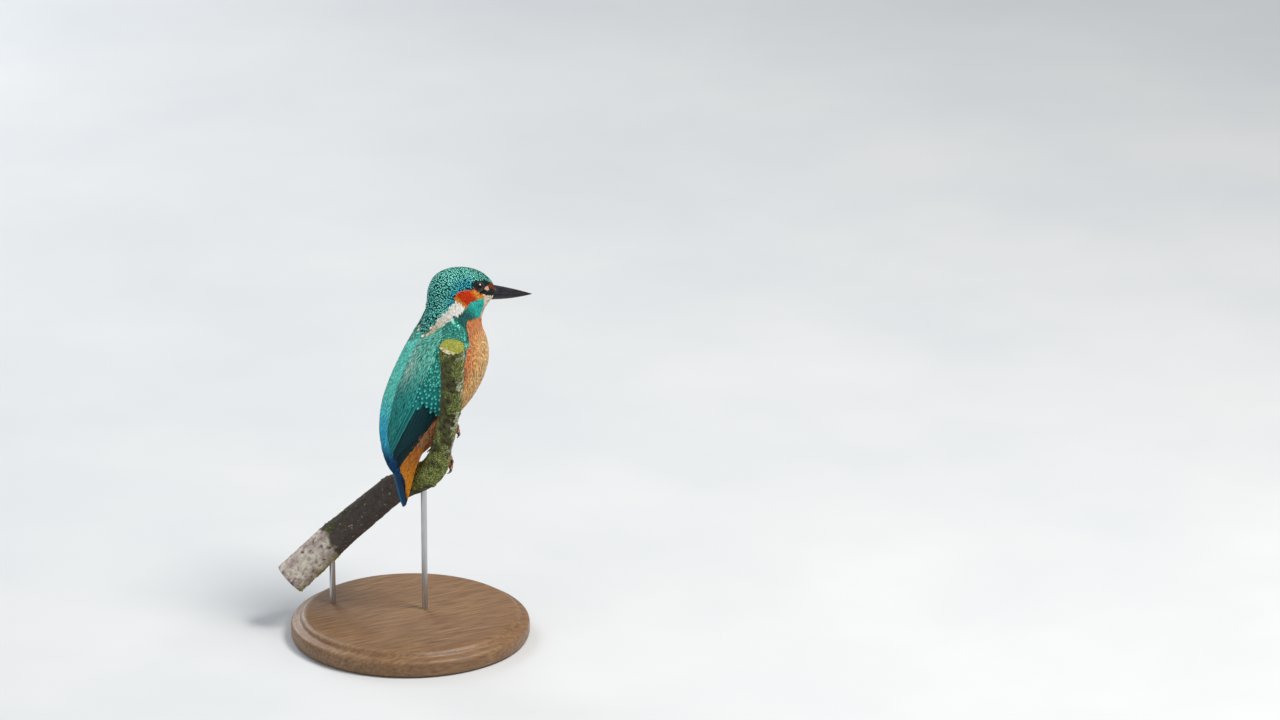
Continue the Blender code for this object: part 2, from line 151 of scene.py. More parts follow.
def blank(name):
    """A material with a bare Principled shader: its tree, and that shader."""
    material = bpy.data.materials.new(name)
    material.use_nodes = True
    return material, material.node_tree, material.node_tree.nodes["Principled BSDF"]


def painted_on(tree, layer):
    """The colour socket of a layer of colours that a piece's points carry."""
    return place(tree, "ShaderNodeAttribute", attribute_name=layer).outputs["Color"]


def masks_of(tree, layer):
    """Three value sockets: the red, green and blue of a layer of colours."""
    return place(tree, "ShaderNodeSeparateColor", {"Color": painted_on(tree, layer)}).outputs


def finished(tree, shader, colour, roughness, height, strength, distance):
    """Links a material's colour, its roughness and the bump of a height, in metres, to its shader."""
    tree.links.new(colour, shader.inputs["Base Color"])
    tree.links.new(roughness, shader.inputs["Roughness"])
    bump = place(tree, "ShaderNodeBump", {"Height": height, "Strength": strength, "Distance": distance})
    tree.links.new(bump.outputs[0], shader.inputs["Normal"])


def speckle(tree, scale, detail=4.0, roughness=0.55, stretch=(1.0, 1.0, 1.0)):
    """The value socket of noise on the object's own coordinates. Scale is in cycles for each metre."""
    spot = tree.nodes.new("ShaderNodeTexCoord")
    sized = place(tree, "ShaderNodeMapping", {"Vector": spot.outputs["Object"], "Scale": stretch})
    made = place(tree, "ShaderNodeTexNoise", {
        "Vector": sized.outputs[0], "Scale": scale, "Detail": detail, "Roughness": roughness,
    })
    return made.outputs["Fac"]


floor_mesh = bpy.data.meshes.new("floor")
floor_corners = [(-9, -9, 0), (9, -9, 0), (9, 9, 0), (-9, 9, 0)]
floor_mesh.from_pydata(floor_corners, [], [(0, 1, 2, 3)])
floor = bpy.data.objects.new("floor", floor_mesh)
bpy.context.scene.collection.objects.link(floor)
floor_paint, tree, shader = blank("floor_paint")
shader.inputs["Roughness"].default_value = 0.75
tree.links.new(
    ramped(tree, speckle(tree, 6.0, 3.0), [(0.3, (0.60, 0.62, 0.64)), (0.7, (0.66, 0.67, 0.68))]),
    shader.inputs["Base Color"],
)
floor_mesh.materials.append(floor_paint)

# ---------------------------------------------------------------- the branch
# A living branch as thick as a finger, cut short: rough bark with moss over its upper parts and pale
# lichen on its lower length, sawn across at both ends. That lower length's paleness is partly painted
# sunlight, which starts at a painted shadow edge; the moss before it is darkened as painted shadow of the
# bird, and the upper length's pale crust is thicker on its lit side, partly painted light. The bird's own
# frame is BIRD above the base.
MM = 0.001
BIRD = np.array([22.0, 0.0, 96.0])
BRANCH = np.array([
    (-21.1, -48.0, 72.7, 5.9), (-18.2, -41.7, 58.0, 5.6), (-15.3, -34.7, 41.9, 5.2),
    (-14.0, -29.3, 29.3, 5.0), (-12.9, -22.8, 16.4, 5.0), (-12.6, -17.8, 8.0, 5.2),
    (-11.9, -13.1, 0.4, 5.9), (-12.3, -6.7, -7.3, 6.6), (-14.2, 2.4, -14.0, 7.0), (-18.2, 12.8, -20.4, 7.0),
    (-25.5, 18.2, -26.5, 7.3), (-38.3, 23.9, -38.3, 7.7), (-54.1, 30.4, -53.1, 8.1),
    (-71.1, 36.8, -69.9, 8.3),
])
CUT_LEAN = np.radians(9.0)
BARK_RINGS = 430
BARK_SIDES = 168
FEET_SPAN = (50.0, 94.0)
# Where the pale lichen starts along the branch, and with it the painted sunlight; its start is a painted
# shadow edge.
SUNLIT_LICHEN_FROM = 163.0


def rows_at(rows, u):
    """Smooth (Catmull-Rom) values between a table's rows: cubics through the rows with slopes (c - a) / 2."""
    rows = np.asarray(rows, float)
    last = len(rows) - 1
    u = np.clip(np.atleast_1d(np.asarray(u, float)), 0.0, last - 1e-9)
    i = u.astype(int)
    f = (u - i)[:, None]
    b = rows[i]
    c = rows[i + 1]
    a = np.where((i == 0)[:, None], 2 * b - c, rows[np.maximum(i - 1, 0)])
    d = np.where((i == last - 1)[:, None], 2 * c - b, rows[np.minimum(i + 2, last)])
    return 0.5 * (2 * b + (c - a) * f + (2 * a - 5 * b + 4 * c - d) * f**2 + (3 * b - a - 3 * c + d) * f**3)


def unit(v):
    """Vectors scaled to length 1: each divided by the root of the sum of its squares."""
    v = np.asarray(v, float)
    return v / np.linalg.norm(v, axis=-1, keepdims=True)


def smooth(x, low=0.0, high=1.0):
    """0 below low, 1 above high, and 3t^2 - 2t^3 between."""
    t = np.clip((np.asarray(x, float) - low) / (high - low), 0.0, 1.0)
    return t * t * (3 - 2 * t)


HASH_STEPS = np.array([374761393, 668265263, 2147483647])
HASH_SEED = 974711
HASH_STIR = 1274126177


def noise(points, size, seed):
    """Value noise, -1 to 1: hashed random values at the corners of
    cubes of a size, blended by 3t^2 - 2t^3."""
    p = np.asarray(points, float) / size
    cell = np.floor(p).astype(np.int64)
    f = p - cell
    f = f * f * (3 - 2 * f)
    total = np.zeros(p.shape[:-1])
    for corner in np.ndindex(2, 2, 2):
        at = cell + corner
        h = (at * HASH_STEPS).sum(axis=-1) + seed * HASH_SEED
        h = (h ^ (h >> 13)) * HASH_STIR
        value = ((h ^ (h >> 16)) & 0xFFFF) / 32767.5 - 1
        weight = np.prod(np.where(np.array(corner) == 1, f, 1 - f), axis=-1)
        total += weight * value
    return total


def noises(points, size, seed, octaves=3):
    """Noise summed over octaves, each half the size and half the strength of the last."""
    return sum(noise(points, size / 2**k, seed + k) / 2**k for k in range(octaves)) / (2 - 2 / 2**octaves)


def solid(name, points, quads, ends=(), materials=()):
    """A mesh object from millimetre points in the bird's frame, quads, and polygons of any one size."""
    mesh = bpy.data.meshes.new(name)
    points = np.asarray(points, float).reshape(-1, 3)
    quads = np.asarray(quads, np.int32).reshape(-1, 4)
    ends = np.asarray(ends, np.int32)
    corners = np.concatenate([quads.ravel(), ends.ravel()])
    starts = np.arange(len(quads)) * 4
    if ends.size:
        starts = np.concatenate([starts, len(quads) * 4 + np.arange(len(ends)) * ends.shape[1]])
    mesh.vertices.add(len(points))
    mesh.vertices.foreach_set("co", ((points + BIRD) * MM).astype(np.float32).ravel())
    mesh.loops.add(len(corners))
    mesh.loops.foreach_set("vertex_index", corners)
    mesh.polygons.add(len(starts))
    mesh.polygons.foreach_set("loop_start", starts.astype(np.int32))
    mesh.update(calc_edges=True)
    mesh.shade_smooth()
    for material in materials:
        mesh.materials.append(material)
    made = bpy.data.objects.new(name, mesh)
    bpy.context.scene.collection.objects.link(made)
    return made


def ringed(grid):
    """The points, quads and end triangles of a closed tube: a grid (rings, sides) with a fan to a middle
    point at each end. Its rings turn anticlockwise seen against the way they run."""
    count, sides, _ = grid.shape
    index = np.arange(count * sides).reshape(count, sides)
    after = np.roll(index, -1, axis=1)
    quads = np.stack([index[:-1], after[:-1], after[1:], index[1:]], axis=-1).reshape(-1, 4)
    points = np.concatenate([grid.reshape(-1, 3), grid[:1].mean(axis=1), grid[-1:].mean(axis=1)])
    first = np.stack([after[0], index[0], np.full(sides, count * sides)], axis=-1)
    last = np.stack([index[-1], after[-1], np.full(sides, count * sides + 1)], axis=-1)
    return points, quads, np.concatenate([first, last])


def tinted(piece, name, values):
    """A colour for each point of a piece, which its material reads by name."""
    layer = piece.data.attributes.new(name, "FLOAT_COLOR", "POINT")
    full = np.ones((len(piece.data.vertices), 4), np.float32)
    full[:, :3] = values
    layer.data.foreach_set("color", full.ravel())


def branch_rows(count):
    """The branch's middle points and radii, evenly spaced along it, and its length."""
    fine = rows_at(BRANCH, np.linspace(0, len(BRANCH) - 1, 600))
    run = np.concatenate([[0], np.cumsum(np.linalg.norm(np.diff(fine[:, :3], axis=0), axis=1))])
    at = np.linspace(0, run[-1], count)
    even = np.stack([np.interp(at, run, fine[:, i]) for i in range(4)], axis=1)
    return even[:, :3], even[:, 3], run[-1]


def circled(path):
    """Two unit vectors square to a path at each of its points, turned as little as possible along it."""
    along = unit(np.gradient(path, axis=0))
    side = unit(np.cross(along[0], (0.3, 1.0, 0.2)))
    sides = []
    for way in along:
        side = unit(side - way * np.dot(side, way))
        sides.append(side)
    return np.array(sides), np.cross(along, sides)


def ways_out(angles, first, second):
    """Unit ways out round each point of a line: first cos(angle) + second sin(angle)."""
    return np.cos(angles)[:, None] * first[..., None, :] + np.sin(angles)[:, None] * second[..., None, :]


middles, girth, branch_length = branch_rows(BARK_RINGS)
run = np.linspace(0, branch_length, BARK_RINGS)
turn = np.arange(BARK_SIDES) * 2 * np.pi / BARK_SIDES
spoke = ways_out(turn, *circled(middles))
core = middles[:, None] + spoke * girth[:, None, None]
grain_space = np.stack(np.broadcast_arrays(
    np.cos(turn)[None] * girth[:, None], np.sin(turn)[None] * girth[:, None], run[:, None] * 0.2), axis=-1)
furrow = 1 - np.abs(noises(grain_space, 1.5, 11, 4)) * 2.4
lumps = noises(core, 7.0, 21, 3)
grit = noises(core, 0.9, 31, 3)
facing_up = spoke[..., 2]
upper_part = 1 - smooth(run, 95, 118)[:, None]
# The lower length's pale lichen, painted as sunlit too: its sharp, wavering start is a painted shadow edge.
sunlit_lichen_part = smooth(run[:, None] + noises(core, 5.0, 41, 4) * 4.5, SUNLIT_LICHEN_FROM - 1.4, SUNLIT_LICHEN_FROM + 1.4)
moss = smooth(noises(core, 5.0, 51, 4) + (0.6 * facing_up - 0.48) * (1 - upper_part)
              + upper_part * (0.08 + 0.22 * smooth(run, 40, 95)[:, None])
              - 0.35 * sunlit_lichen_part * (facing_up > -0.3), 0.0, 0.35)
moss = np.maximum(moss, sunlit_lichen_part * smooth(-facing_up + 0.25 * noises(core, 3.0, 61), 0.25, 0.6)
                  * smooth(noises(core, 2.4, 62, 3), -0.3, 0.2))
# Pale crust of lichen flecks, set thicker on the side towards the camera's right, where the key lamp lights
# it: there it is partly painted light.
crust_and_painted_light = smooth(noises(core, 1.1, 71, 4)
               + (0.75 * (spoke @ RIGHTWARD) - 0.30 - 0.20 * smooth(run, 52, 64)[:, None])
               * upper_part - 0.46 * (1 - upper_part), 0.02, 0.2)
crust_and_painted_light = np.clip(np.maximum(crust_and_painted_light * (1 - 0.6 * moss),
                           sunlit_lichen_part * smooth(noises(core, 3.2, 72, 4), -0.60, -0.38)), 0, 1)
free_of_toes = 1 - 0.75 * smooth(run, FEET_SPAN[0] - 4, FEET_SPAN[0])[:, None] * (
    1 - smooth(run, FEET_SPAN[1], FEET_SPAN[1] + 4)[:, None])
swell = (0.25 * lumps + 0.16 * grit - 0.40 * np.clip(furrow - 0.35, 0, 1) * (1 - 0.7 * moss)
         + free_of_toes * (0.55 * moss * (0.6 + noises(core, 1.1, 81, 2)) + 0.18 * crust_and_painted_light))
bark_grid = middles[:, None] + spoke * (girth[:, None] + swell)[..., None]
way = unit(middles[0] - middles[1])
lean = unit(np.cross(way, (0, 0, 1)))
cut = way * np.cos(CUT_LEAN) + np.cross(lean, way) * np.sin(CUT_LEAN)
near_top = 1 - smooth(run, 0.0, 6.0)
slip = ((core[0] - middles[0]) @ cut / (way @ cut))[None] * near_top[:, None]
bark_grid -= slip[..., None] * way
shrink = np.array([0.985, 0.95, 0.88, 0.78, 0.66, 0.52, 0.38, 0.24, 0.1])


def capped(ring, centre, outward, seed, dome):
    """Rings that close a sawn end: the last ring drawn in to its middle, with a low uneven dome."""
    rings = centre + (ring - centre)[None] * shrink[:, None, None]
    height = dome * (1 - shrink**6)[:, None] + 0.12 * noises(rings, 1.2, seed, 3)
    return rings + outward * height[..., None]


top_cap = capped(bark_grid[0], bark_grid[0].mean(axis=0), cut, 91, 0.25)[::-1]
low_cap = capped(bark_grid[-1], bark_grid[-1].mean(axis=0), unit(middles[-1] - middles[-2]), 92, 0.05)
whole = np.concatenate([top_cap, bark_grid, low_cap])
points, quads, ends = ringed(whole)
extra = len(shrink)


def over_all(values, top, low):
    """Values over the bark, carried on over both sawn ends."""
    full = np.concatenate([
        np.broadcast_to(top, (extra, BARK_SIDES)), values, np.broadcast_to(low, (extra, BARK_SIDES))])
    return np.append(full.ravel(), [full[0].mean(), full[-1].mean()])


cut_moss = (0.80 + 0.50 * noises(top_cap, 2.6, 93, 4)
            - 0.75 * smooth((top_cap - top_cap.mean((0, 1))) @ (-UPWARD - 0.5 * RIGHTWARD), 1.0, 4.5))
zones = np.stack([
    over_all(moss, np.clip(cut_moss, 0, 1), 0.0),
    over_all(crust_and_painted_light, 0.25 + 0.4 * smooth((top_cap - top_cap.mean((0, 1))) @ -UPWARD, 1.5, 4.5), 0.0),
    over_all(sunlit_lichen_part, 0.0, 0.0),
], axis=-1)
sawn = np.stack([over_all(np.zeros_like(moss), 1.0, 0.0), over_all(np.zeros_like(moss), 0.0, 1.0),
                 over_all(np.broadcast_to(upper_part, moss.shape), 1.0, 0.0)], axis=-1)

bark_paint, tree, shader = blank("bark_and_moss")
# The growth layer carries moss, pale crust with painted light on its lit side, and the lichen length with its
# painted sunlight.
zone = masks_of(tree, "growth_and_painted_light")
saw = masks_of(tree, "sawn")
fine = speckle(tree, 1500.0, 5.0, 0.6)
mid = speckle(tree, 420.0, 5.0, 0.6)
bare = blended(tree, saw[2], blended(tree, mid, (0.028, 0.022, 0.019), (0.150, 0.122, 0.105)),
               ramped(tree, mid, [(0.34, (0.012, 0.012, 0.005)), (0.66, (0.125, 0.130, 0.048))]))
green = ramped(tree, fine,
               [(0.34, (0.016, 0.024, 0.005)), (0.47, (0.095, 0.125, 0.026)), (0.62, (0.48, 0.52, 0.17))])
# Moss on the length below the stub, before the lichen, is dulled to under half: painted shadow of the bird
# across it.
dull = blended(tree, saw[2], (0.45, 0.42, 0.40), (1.0, 1.0, 1.0))
green = blended(tree, 1.0, green, dull, "MULTIPLY")
# Brighter moss on the sawn top, and on the lichen length, where it is partly painted sunlight.
bright_moss = ramped(tree, fine,
                     [(0.3, (0.09, 0.085, 0.008)), (0.5, (0.24, 0.25, 0.030)), (0.7, (0.44, 0.44, 0.12))])
green = blended(tree, zone[2], green, bright_moss)
crusty = ramped(tree, mid,
                [(0.32, (0.10, 0.105, 0.050)), (0.44, (0.36, 0.38, 0.22)), (0.56, (0.68, 0.68, 0.50))])
broad = speckle(tree, 130.0, 3.0, 0.5)
# The lichen length's pale pinkish crust: real lichen, made paler as painted sunlight.
pale = ramped(tree, mid, [(0.32, (0.22, 0.14, 0.14)), (0.42, (0.47, 0.38, 0.33)), (0.56, (0.74, 0.69, 0.57))])
pale = blended(tree, ramped(tree, broad, [(0.45, 0.0), (0.62, 0.6)]), pale, (0.36, 0.25, 0.26))
pale = blended(tree, zone[2], crusty, pale)
shows = blended(tree, zone[2], ramped(tree, fine, [(0.38, 0.1), (0.55, 1.0)]),
                ramped(tree, fine, [(0.30, 0.45), (0.42, 1.0)]))
colour = blended(tree, reckoned(tree, "MULTIPLY", zone[1], shows), bare, pale)
tufts = ramped(tree, mid, [(0.3, 0.55), (0.5, 1.0)])
colour = blended(tree, reckoned(tree, "MULTIPLY", zone[0], tufts), colour, green)
old_wood = ramped(tree, mid,
                  [(0.32, (0.12, 0.10, 0.04)), (0.45, (0.36, 0.32, 0.19)), (0.6, (0.62, 0.55, 0.44))])
overgrown = reckoned(tree, "ADD", zone[0], reckoned(tree, "MULTIPLY", fine, 0.5))
top_face = blended(tree, ramped(tree, overgrown, [(0.55, 0.0), (0.8, 1.0)]), old_wood, bright_moss)
colour = blended(tree, saw[0], colour, top_face)
spot = place(tree, "ShaderNodeTexCoord").outputs["Object"]
ring_centre = place(tree, "ShaderNodeVectorMath", {
    0: spot, 1: tuple((middles[-1] + BIRD) * MM)}, operation="DISTANCE").outputs["Value"]
year_rings = reckoned(tree, "FRACT", reckoned(tree, "ADD", reckoned(tree, "MULTIPLY", ring_centre, 1150.0),
                                             reckoned(tree, "MULTIPLY", mid, 0.6)))
end_wood = ramped(tree, year_rings,
                  [(0.0, (0.42, 0.29, 0.16)), (0.75, (0.56, 0.41, 0.24)), (1.0, (0.30, 0.19, 0.10))])
colour = blended(tree, saw[1], colour, end_wood)
relief = reckoned(tree, "ADD", fine, reckoned(tree, "MULTIPLY", mid, 1.6))
finished(tree, shader, colour, ramped(tree, fine, [(0.2, 0.78), (0.8, 1.0)]), relief, 0.9, 0.0004)
shader.inputs["Specular IOR Level"].default_value = 0.25

perch = solid("perch_bark", points, quads, ends, [bark_paint])
tinted(perch, "growth_and_painted_light", zones)
tinted(perch, "sawn", sawn)
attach(perch, "root")
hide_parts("perch")

# ---------------------------------------------------------------- the display stand
# A plain disc of oak, 120 mm across and 12 mm thick: turned with an ogee round its rim, flat underneath,
# sanded and oiled, with the grain running along its top.
BASE_HEIGHT = 12.0
BASE_PROFILE = [
    (57.6, 0.0), (58.4, 0.12), (59.6, 1.1), (59.95, 1.9), (60.0, 4.0), (60.0, 6.6), (59.7, 7.6),
    (59.0, 8.35), (58.0, 8.8), (56.4, 9.2), (55.6, 9.55), (55.2, 10.0), (54.8, 10.7), (54.0, 11.4),
    (53.0, 11.85), (51.5, 12.0), (44.0, 12.0), (30.0, 12.0), (12.0, 12.0),
]
around = np.arange(144) * 2 * np.pi / 144
circle = np.stack([np.cos(around), np.sin(around), np.zeros(144)], axis=-1)
base_rings = np.array([circle * r + (0, 0, z) for r, z in BASE_PROFILE]) - BIRD
oak_paint, tree, shader = blank("oiled_oak")
streak = speckle(tree, 70.0, 6.0, 0.62, (1.0, 11.0, 11.0))
pores = speckle(tree, 420.0, 3.0, 0.7, (0.9, 14.0, 14.0))
broad = speckle(tree, 26.0, 3.0, 0.5, (1.0, 5.0, 5.0))
wood = ramped(tree, streak,
              [(0.30, (0.105, 0.050, 0.020)), (0.48, (0.215, 0.115, 0.048)), (0.66, (0.31, 0.18, 0.085))])
wood = blended(tree, ramped(tree, broad, [(0.35, 0.0), (0.65, 0.55)]), wood, (0.17, 0.082, 0.034))
wood = blended(tree, ramped(tree, pores, [(0.33, 0.75), (0.42, 0.0)]), wood, (0.045, 0.020, 0.008))
finished(tree, shader, wood, ramped(tree, streak, [(0.3, 0.50), (0.7, 0.36)]),
         reckoned(tree, "ADD", streak, pores), 0.25, 0.0003)
base = solid("stand_base_oak", *ringed(base_rings), [oak_paint])
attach(base, "root")
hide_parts("stand_base")

# ---------------------------------------------------------------- the stand's rods
# Two straight rods of ground steel, 3 mm thick and chamfered at their feet. Each is let into the oak and
# into the underside of the branch, at a distance along it from its top.
ROD_RADIUS = 1.5
ROD_CHAMFER = 0.3
RODS = {"front": 100.0, "rear": 163.0}
steel_paint, tree, shader = blank("ground_steel")
brushed = speckle(tree, 3000.0, 3.0, 0.6, (1.0, 1.0, 0.05))
finished(tree, shader, ramped(tree, brushed, [(0.3, (0.42, 0.43, 0.45)), (0.7, (0.62, 0.63, 0.65))]),
         ramped(tree, brushed, [(0.3, 0.26), (0.7, 0.42)]), brushed, 0.15, 0.0001)
shader.inputs["Metallic"].default_value = 1.0
rod_turn = np.arange(40) * 2 * np.pi / 40


def middle_at(distance):
    """The branch's middle point at a distance from its top, between the nearest two of its rings."""
    return np.array([np.interp(distance, run, middles[:, i]) for i in range(3)])


for rod, distance in RODS.items():
    at = middle_at(distance) + BIRD
    heights = np.concatenate([[4.0, 4.4, BASE_HEIGHT], np.linspace(BASE_HEIGHT + 0.5, at[2] + 1.5, 24)])
    wide = ROD_RADIUS * np.ones(len(heights))
    wide[0] = ROD_RADIUS - ROD_CHAMFER
    rod_rings = np.stack([
        at[0] + wide[:, None] * np.cos(rod_turn), at[1] + wide[:, None] * np.sin(rod_turn),
        heights[:, None] + 0 * rod_turn], axis=-1) - BIRD
    made = solid(f"stand_rod_{rod}_steel", *ringed(rod_rings), [steel_paint])
    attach(made, "root")
    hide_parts(f"stand_rod_{rod}")

# ---------------------------------------------------------------- the bird's surface and its markings
# One smooth surface, the outside of the coat, runs from the bill's base over head, neck and trunk to the
# tail. Ring numbers u run along it, and angles a go round it from the back's middle line, minus on the right.
HEAD_TURN = np.radians(7.0)
TURN_AXIS_X = 2.0
TURN_FROM_Z = 58.0
TURN_TO_Z = 70.0
TOE_ROOM = 2.7
SHOULDER_DRAWN_IN = 1.8
BACK_EDGE_MOVED = {"left": 21.0, "right": -2.8}
RINGS = np.array([
    (27.6, 80.4, 25.3, 74.4, 3.4, 2.0, 2.0), (25.6, 84.2, 23.3, 73.3, 5.0, 2.0, 2.0),
    (20.5, 89.2, 21.0, 71.9, 7.8, 2.0, 2.0), (13.0, 92.8, 19.2, 70.0, 10.0, 2.0, 2.0),
    (4.0, 94.0, 18.0, 67.6, 11.6, 2.1, 2.0), (-4.0, 92.0, 17.8, 64.8, 12.4, 2.1, 2.0),
    (-8.4, 86.0, 18.4, 61.6, 13.0, 2.1, 2.0), (-10.2, 78.0, 19.8, 58.0, 14.2, 2.1, 2.1),
    (-12.2, 69.5, 20.8, 53.6, 16.0, 2.2, 2.1), (-16.0, 60.8, 20.9, 48.4, 18.0, 2.4, 2.1),
    (-21.1, 51.5, 19.6, 42.6, 19.2, 2.35, 2.1), (-25.8, 42.0, 16.6, 35.8, 19.4, 2.4, 2.1),
    (-29.9, 32.5, 11.7, 28.6, 18.6, 2.55, 2.1), (-32.9, 23.0, 5.0, 21.8, 16.8, 2.7, 2.1),
    (-34.4, 13.5, -2.8, 14.0, 14.2, 2.6, 2.1), (-34.3, 4.5, -10.3, 5.4, 11.2, 2.5, 2.1),
    (-32.0, -4.6, -16.6, -3.0, 8.4, 2.4, 2.1), (-27.7, -12.2, -20.6, -11.5, 6.0, 2.2, 2.1),
    (-26.0, -20.2, -22.6, -19.5, 3.4, 2.0, 2.0), (-24.9, -24.8, -23.4, -24.6, 1.5, 2.0, 2.0),
])
WING = np.array([
    (7.34, 50, 59), (7.56, 43, 67), (7.85, 36, 73), (8.19, 28, 78), (8.57, 18, 81), (8.86, 9, 82),
    (9.36, 5, 84), (10.26, 3.5, 87), (11.16, 3.5, 88), (12.06, 4.5, 88), (12.78, 5.5, 87.5),
    (13.32, 7, 85), (13.77, 10, 78), (14.22, 15.5, 68), (14.67, 24, 50), (15.21, 33, 38),
])


def body(u, a, out=0.0):
    """The coat's outer surface: each ring is a pair of half superellipses across its
    back-to-breast line, and `out` moves a point outwards within its ring's plane. The
    left shoulder is drawn in under the turned head."""
    row = rows_at(RINGS, u)
    round_left = np.degrees(np.clip(np.angle(np.exp(1j * a)), 0, None))
    by_nape = smooth(round_left, 0, 28) * (1 - smooth(round_left, 50, 80))
    drawn_in = by_nape * np.exp(-(((u - 7.9) / 1.2) ** 2))
    out = out - SHOULDER_DRAWN_IN * drawn_in
    back = row[:, 0:2]
    breast = row[:, 2:4]
    middle = (back + breast) / 2
    upward = unit(back - breast)
    reach = np.linalg.norm(back - middle, axis=1) + out
    width = row[:, 4] + out
    cos = np.cos(a)
    sin = np.sin(a)
    power = 2 / np.where(cos >= 0, row[:, 5], row[:, 6])
    lift = reach * np.sign(cos) * np.abs(cos) ** power
    across = width * np.sign(sin) * np.abs(sin) ** power
    return np.stack([middle[:, 0] + lift * upward[:, 0], across, middle[:, 1] + lift * upward[:, 1]], axis=-1)


def turned(points):
    """The head's turn to the left: none under the neck, full over it."""
    a = HEAD_TURN * smooth(points[..., 2], TURN_FROM_Z, TURN_TO_Z)
    x = points[..., 0] - TURN_AXIS_X
    y = points[..., 1]
    across = x * np.sin(a) + y * np.cos(a)
    return np.stack([TURN_AXIS_X + x * np.cos(a) - y * np.sin(a), across, points[..., 2]], -1)


def clear_of_branch(points):
    """Moves points near the branch straight out from it: past its bark,
    and past the toes' room below the wings."""
    close = np.nonzero((points[:, 2] < 60) & (np.linalg.norm(points[:, :2] - (-14, -22), axis=1) < 40))[0]
    if len(close) == 0:
        return points
    few, radii, _ = branch_rows(120)
    offset = points[close][:, None] - few[None, :85]
    distance = np.linalg.norm(offset, axis=2)
    nearest = np.argmin(distance - radii[None, :85], axis=1)
    index = np.arange(len(close))
    far = distance[index, nearest]
    limit = radii[nearest] + TOE_ROOM * np.clip((14.0 - points[close, 2]) / 6.0, 0.0, 1.0)
    excess = (far - limit) / 1.5
    moved = limit + 0.75 * (excess + np.sqrt(excess**2 + 0.1))
    result = points.copy()
    result[close] = few[nearest] + offset[index, nearest] / far[:, None] * moved[:, None]
    return result


def on_bird(u, a, out=0.0):
    """The bird's surface as it stands: the body's rings, turned with the
    head, then moved clear of the branch."""
    return clear_of_branch(turned(body(u, a, out)))


def left_gap(u, a):
    """Degrees by which a wing's back edge lies further from the middle line than the table says: the left
    one's further, so that the stripe shows beside it, and the right one's a little nearer."""
    moved = np.where(a > 0, BACK_EDGE_MOVED["left"], BACK_EDGE_MOVED["right"])
    return moved * smooth(u, 8.6, 10.0) * (1 - smooth(u, 13.4, 14.8))


def wing_share(u, a):
    """Where a point is on the folded wing: its share of the way from
    the wing's back edge to its flank edge."""
    edges = rows_at(WING[:, 1:], np.interp(u, WING[:, 0], np.arange(len(WING))))
    inner = edges[:, 0] + left_gap(u, a)
    return (np.abs(np.degrees(a)) - inner) / (edges[:, 1] - inner)


SHOULDER = np.array([
    (9, 8.86), (18, 8.57), (28, 8.19), (36, 7.85), (43, 7.56), (50, 7.34), (54.5, 7.30), (59, 7.34),
    (67, 7.56), (73, 7.85), (78, 8.19), (81, 8.40), (90, 8.50),
])


def below_shoulder(u, a):
    """Ring numbers from the wing's upper outline, where the wing bends, down to each place."""
    return u - np.interp(np.abs(np.degrees(a)), SHOULDER[:, 0], SHOULDER[:, 1])


def wing_height(u, a):
    """How far the folded wing stands off the body: a lens across and
    along it, and a lip at the flank edge."""
    q = wing_share(u, a)
    along = np.interp(u, WING[:, 0], np.linspace(-1, 1, len(WING)))
    bow = (1 - np.abs(2 * np.clip(q, 0, 1) - 1) ** 4) * (1 - np.abs(along) ** 8)
    lip = 0.35 * np.clip((u - 10) / 3, 0, 1) * np.clip(q, 0, 1) ** 2
    past = below_shoulder(u, a)
    bend = 0.75 * smooth(past, -0.02, 0.10) * (1 - smooth(past, 0.2, 1.3))
    inside = smooth(q, -0.03, 0.02) * (1 - smooth(q, 0.98, 1.03)) * (u > WING[0, 0]) * (u < WING[-1, 0])
    return (0.35 + 0.35 * bow + lip) * inside + bend * smooth(q, -0.35, -0.05) * (1 - smooth(q, 1.0, 1.15))


def within(u, degrees, outline):
    """True inside a closed outline of (ring number, degrees from the back) corners, by counting crossings."""
    x0, y0 = np.array(outline, float).T
    x1, y1 = np.roll(x0, -1), np.roll(y0, -1)
    crosses = (y0[:, None] > degrees) != (y1[:, None] > degrees)
    with np.errstate(divide="ignore", invalid="ignore"):
        at = x0[:, None] + (degrees - y0[:, None]) * ((x1 - x0) / (y1 - y0))[:, None]
    return (crosses & (u < at)).sum(axis=0) % 2 == 1


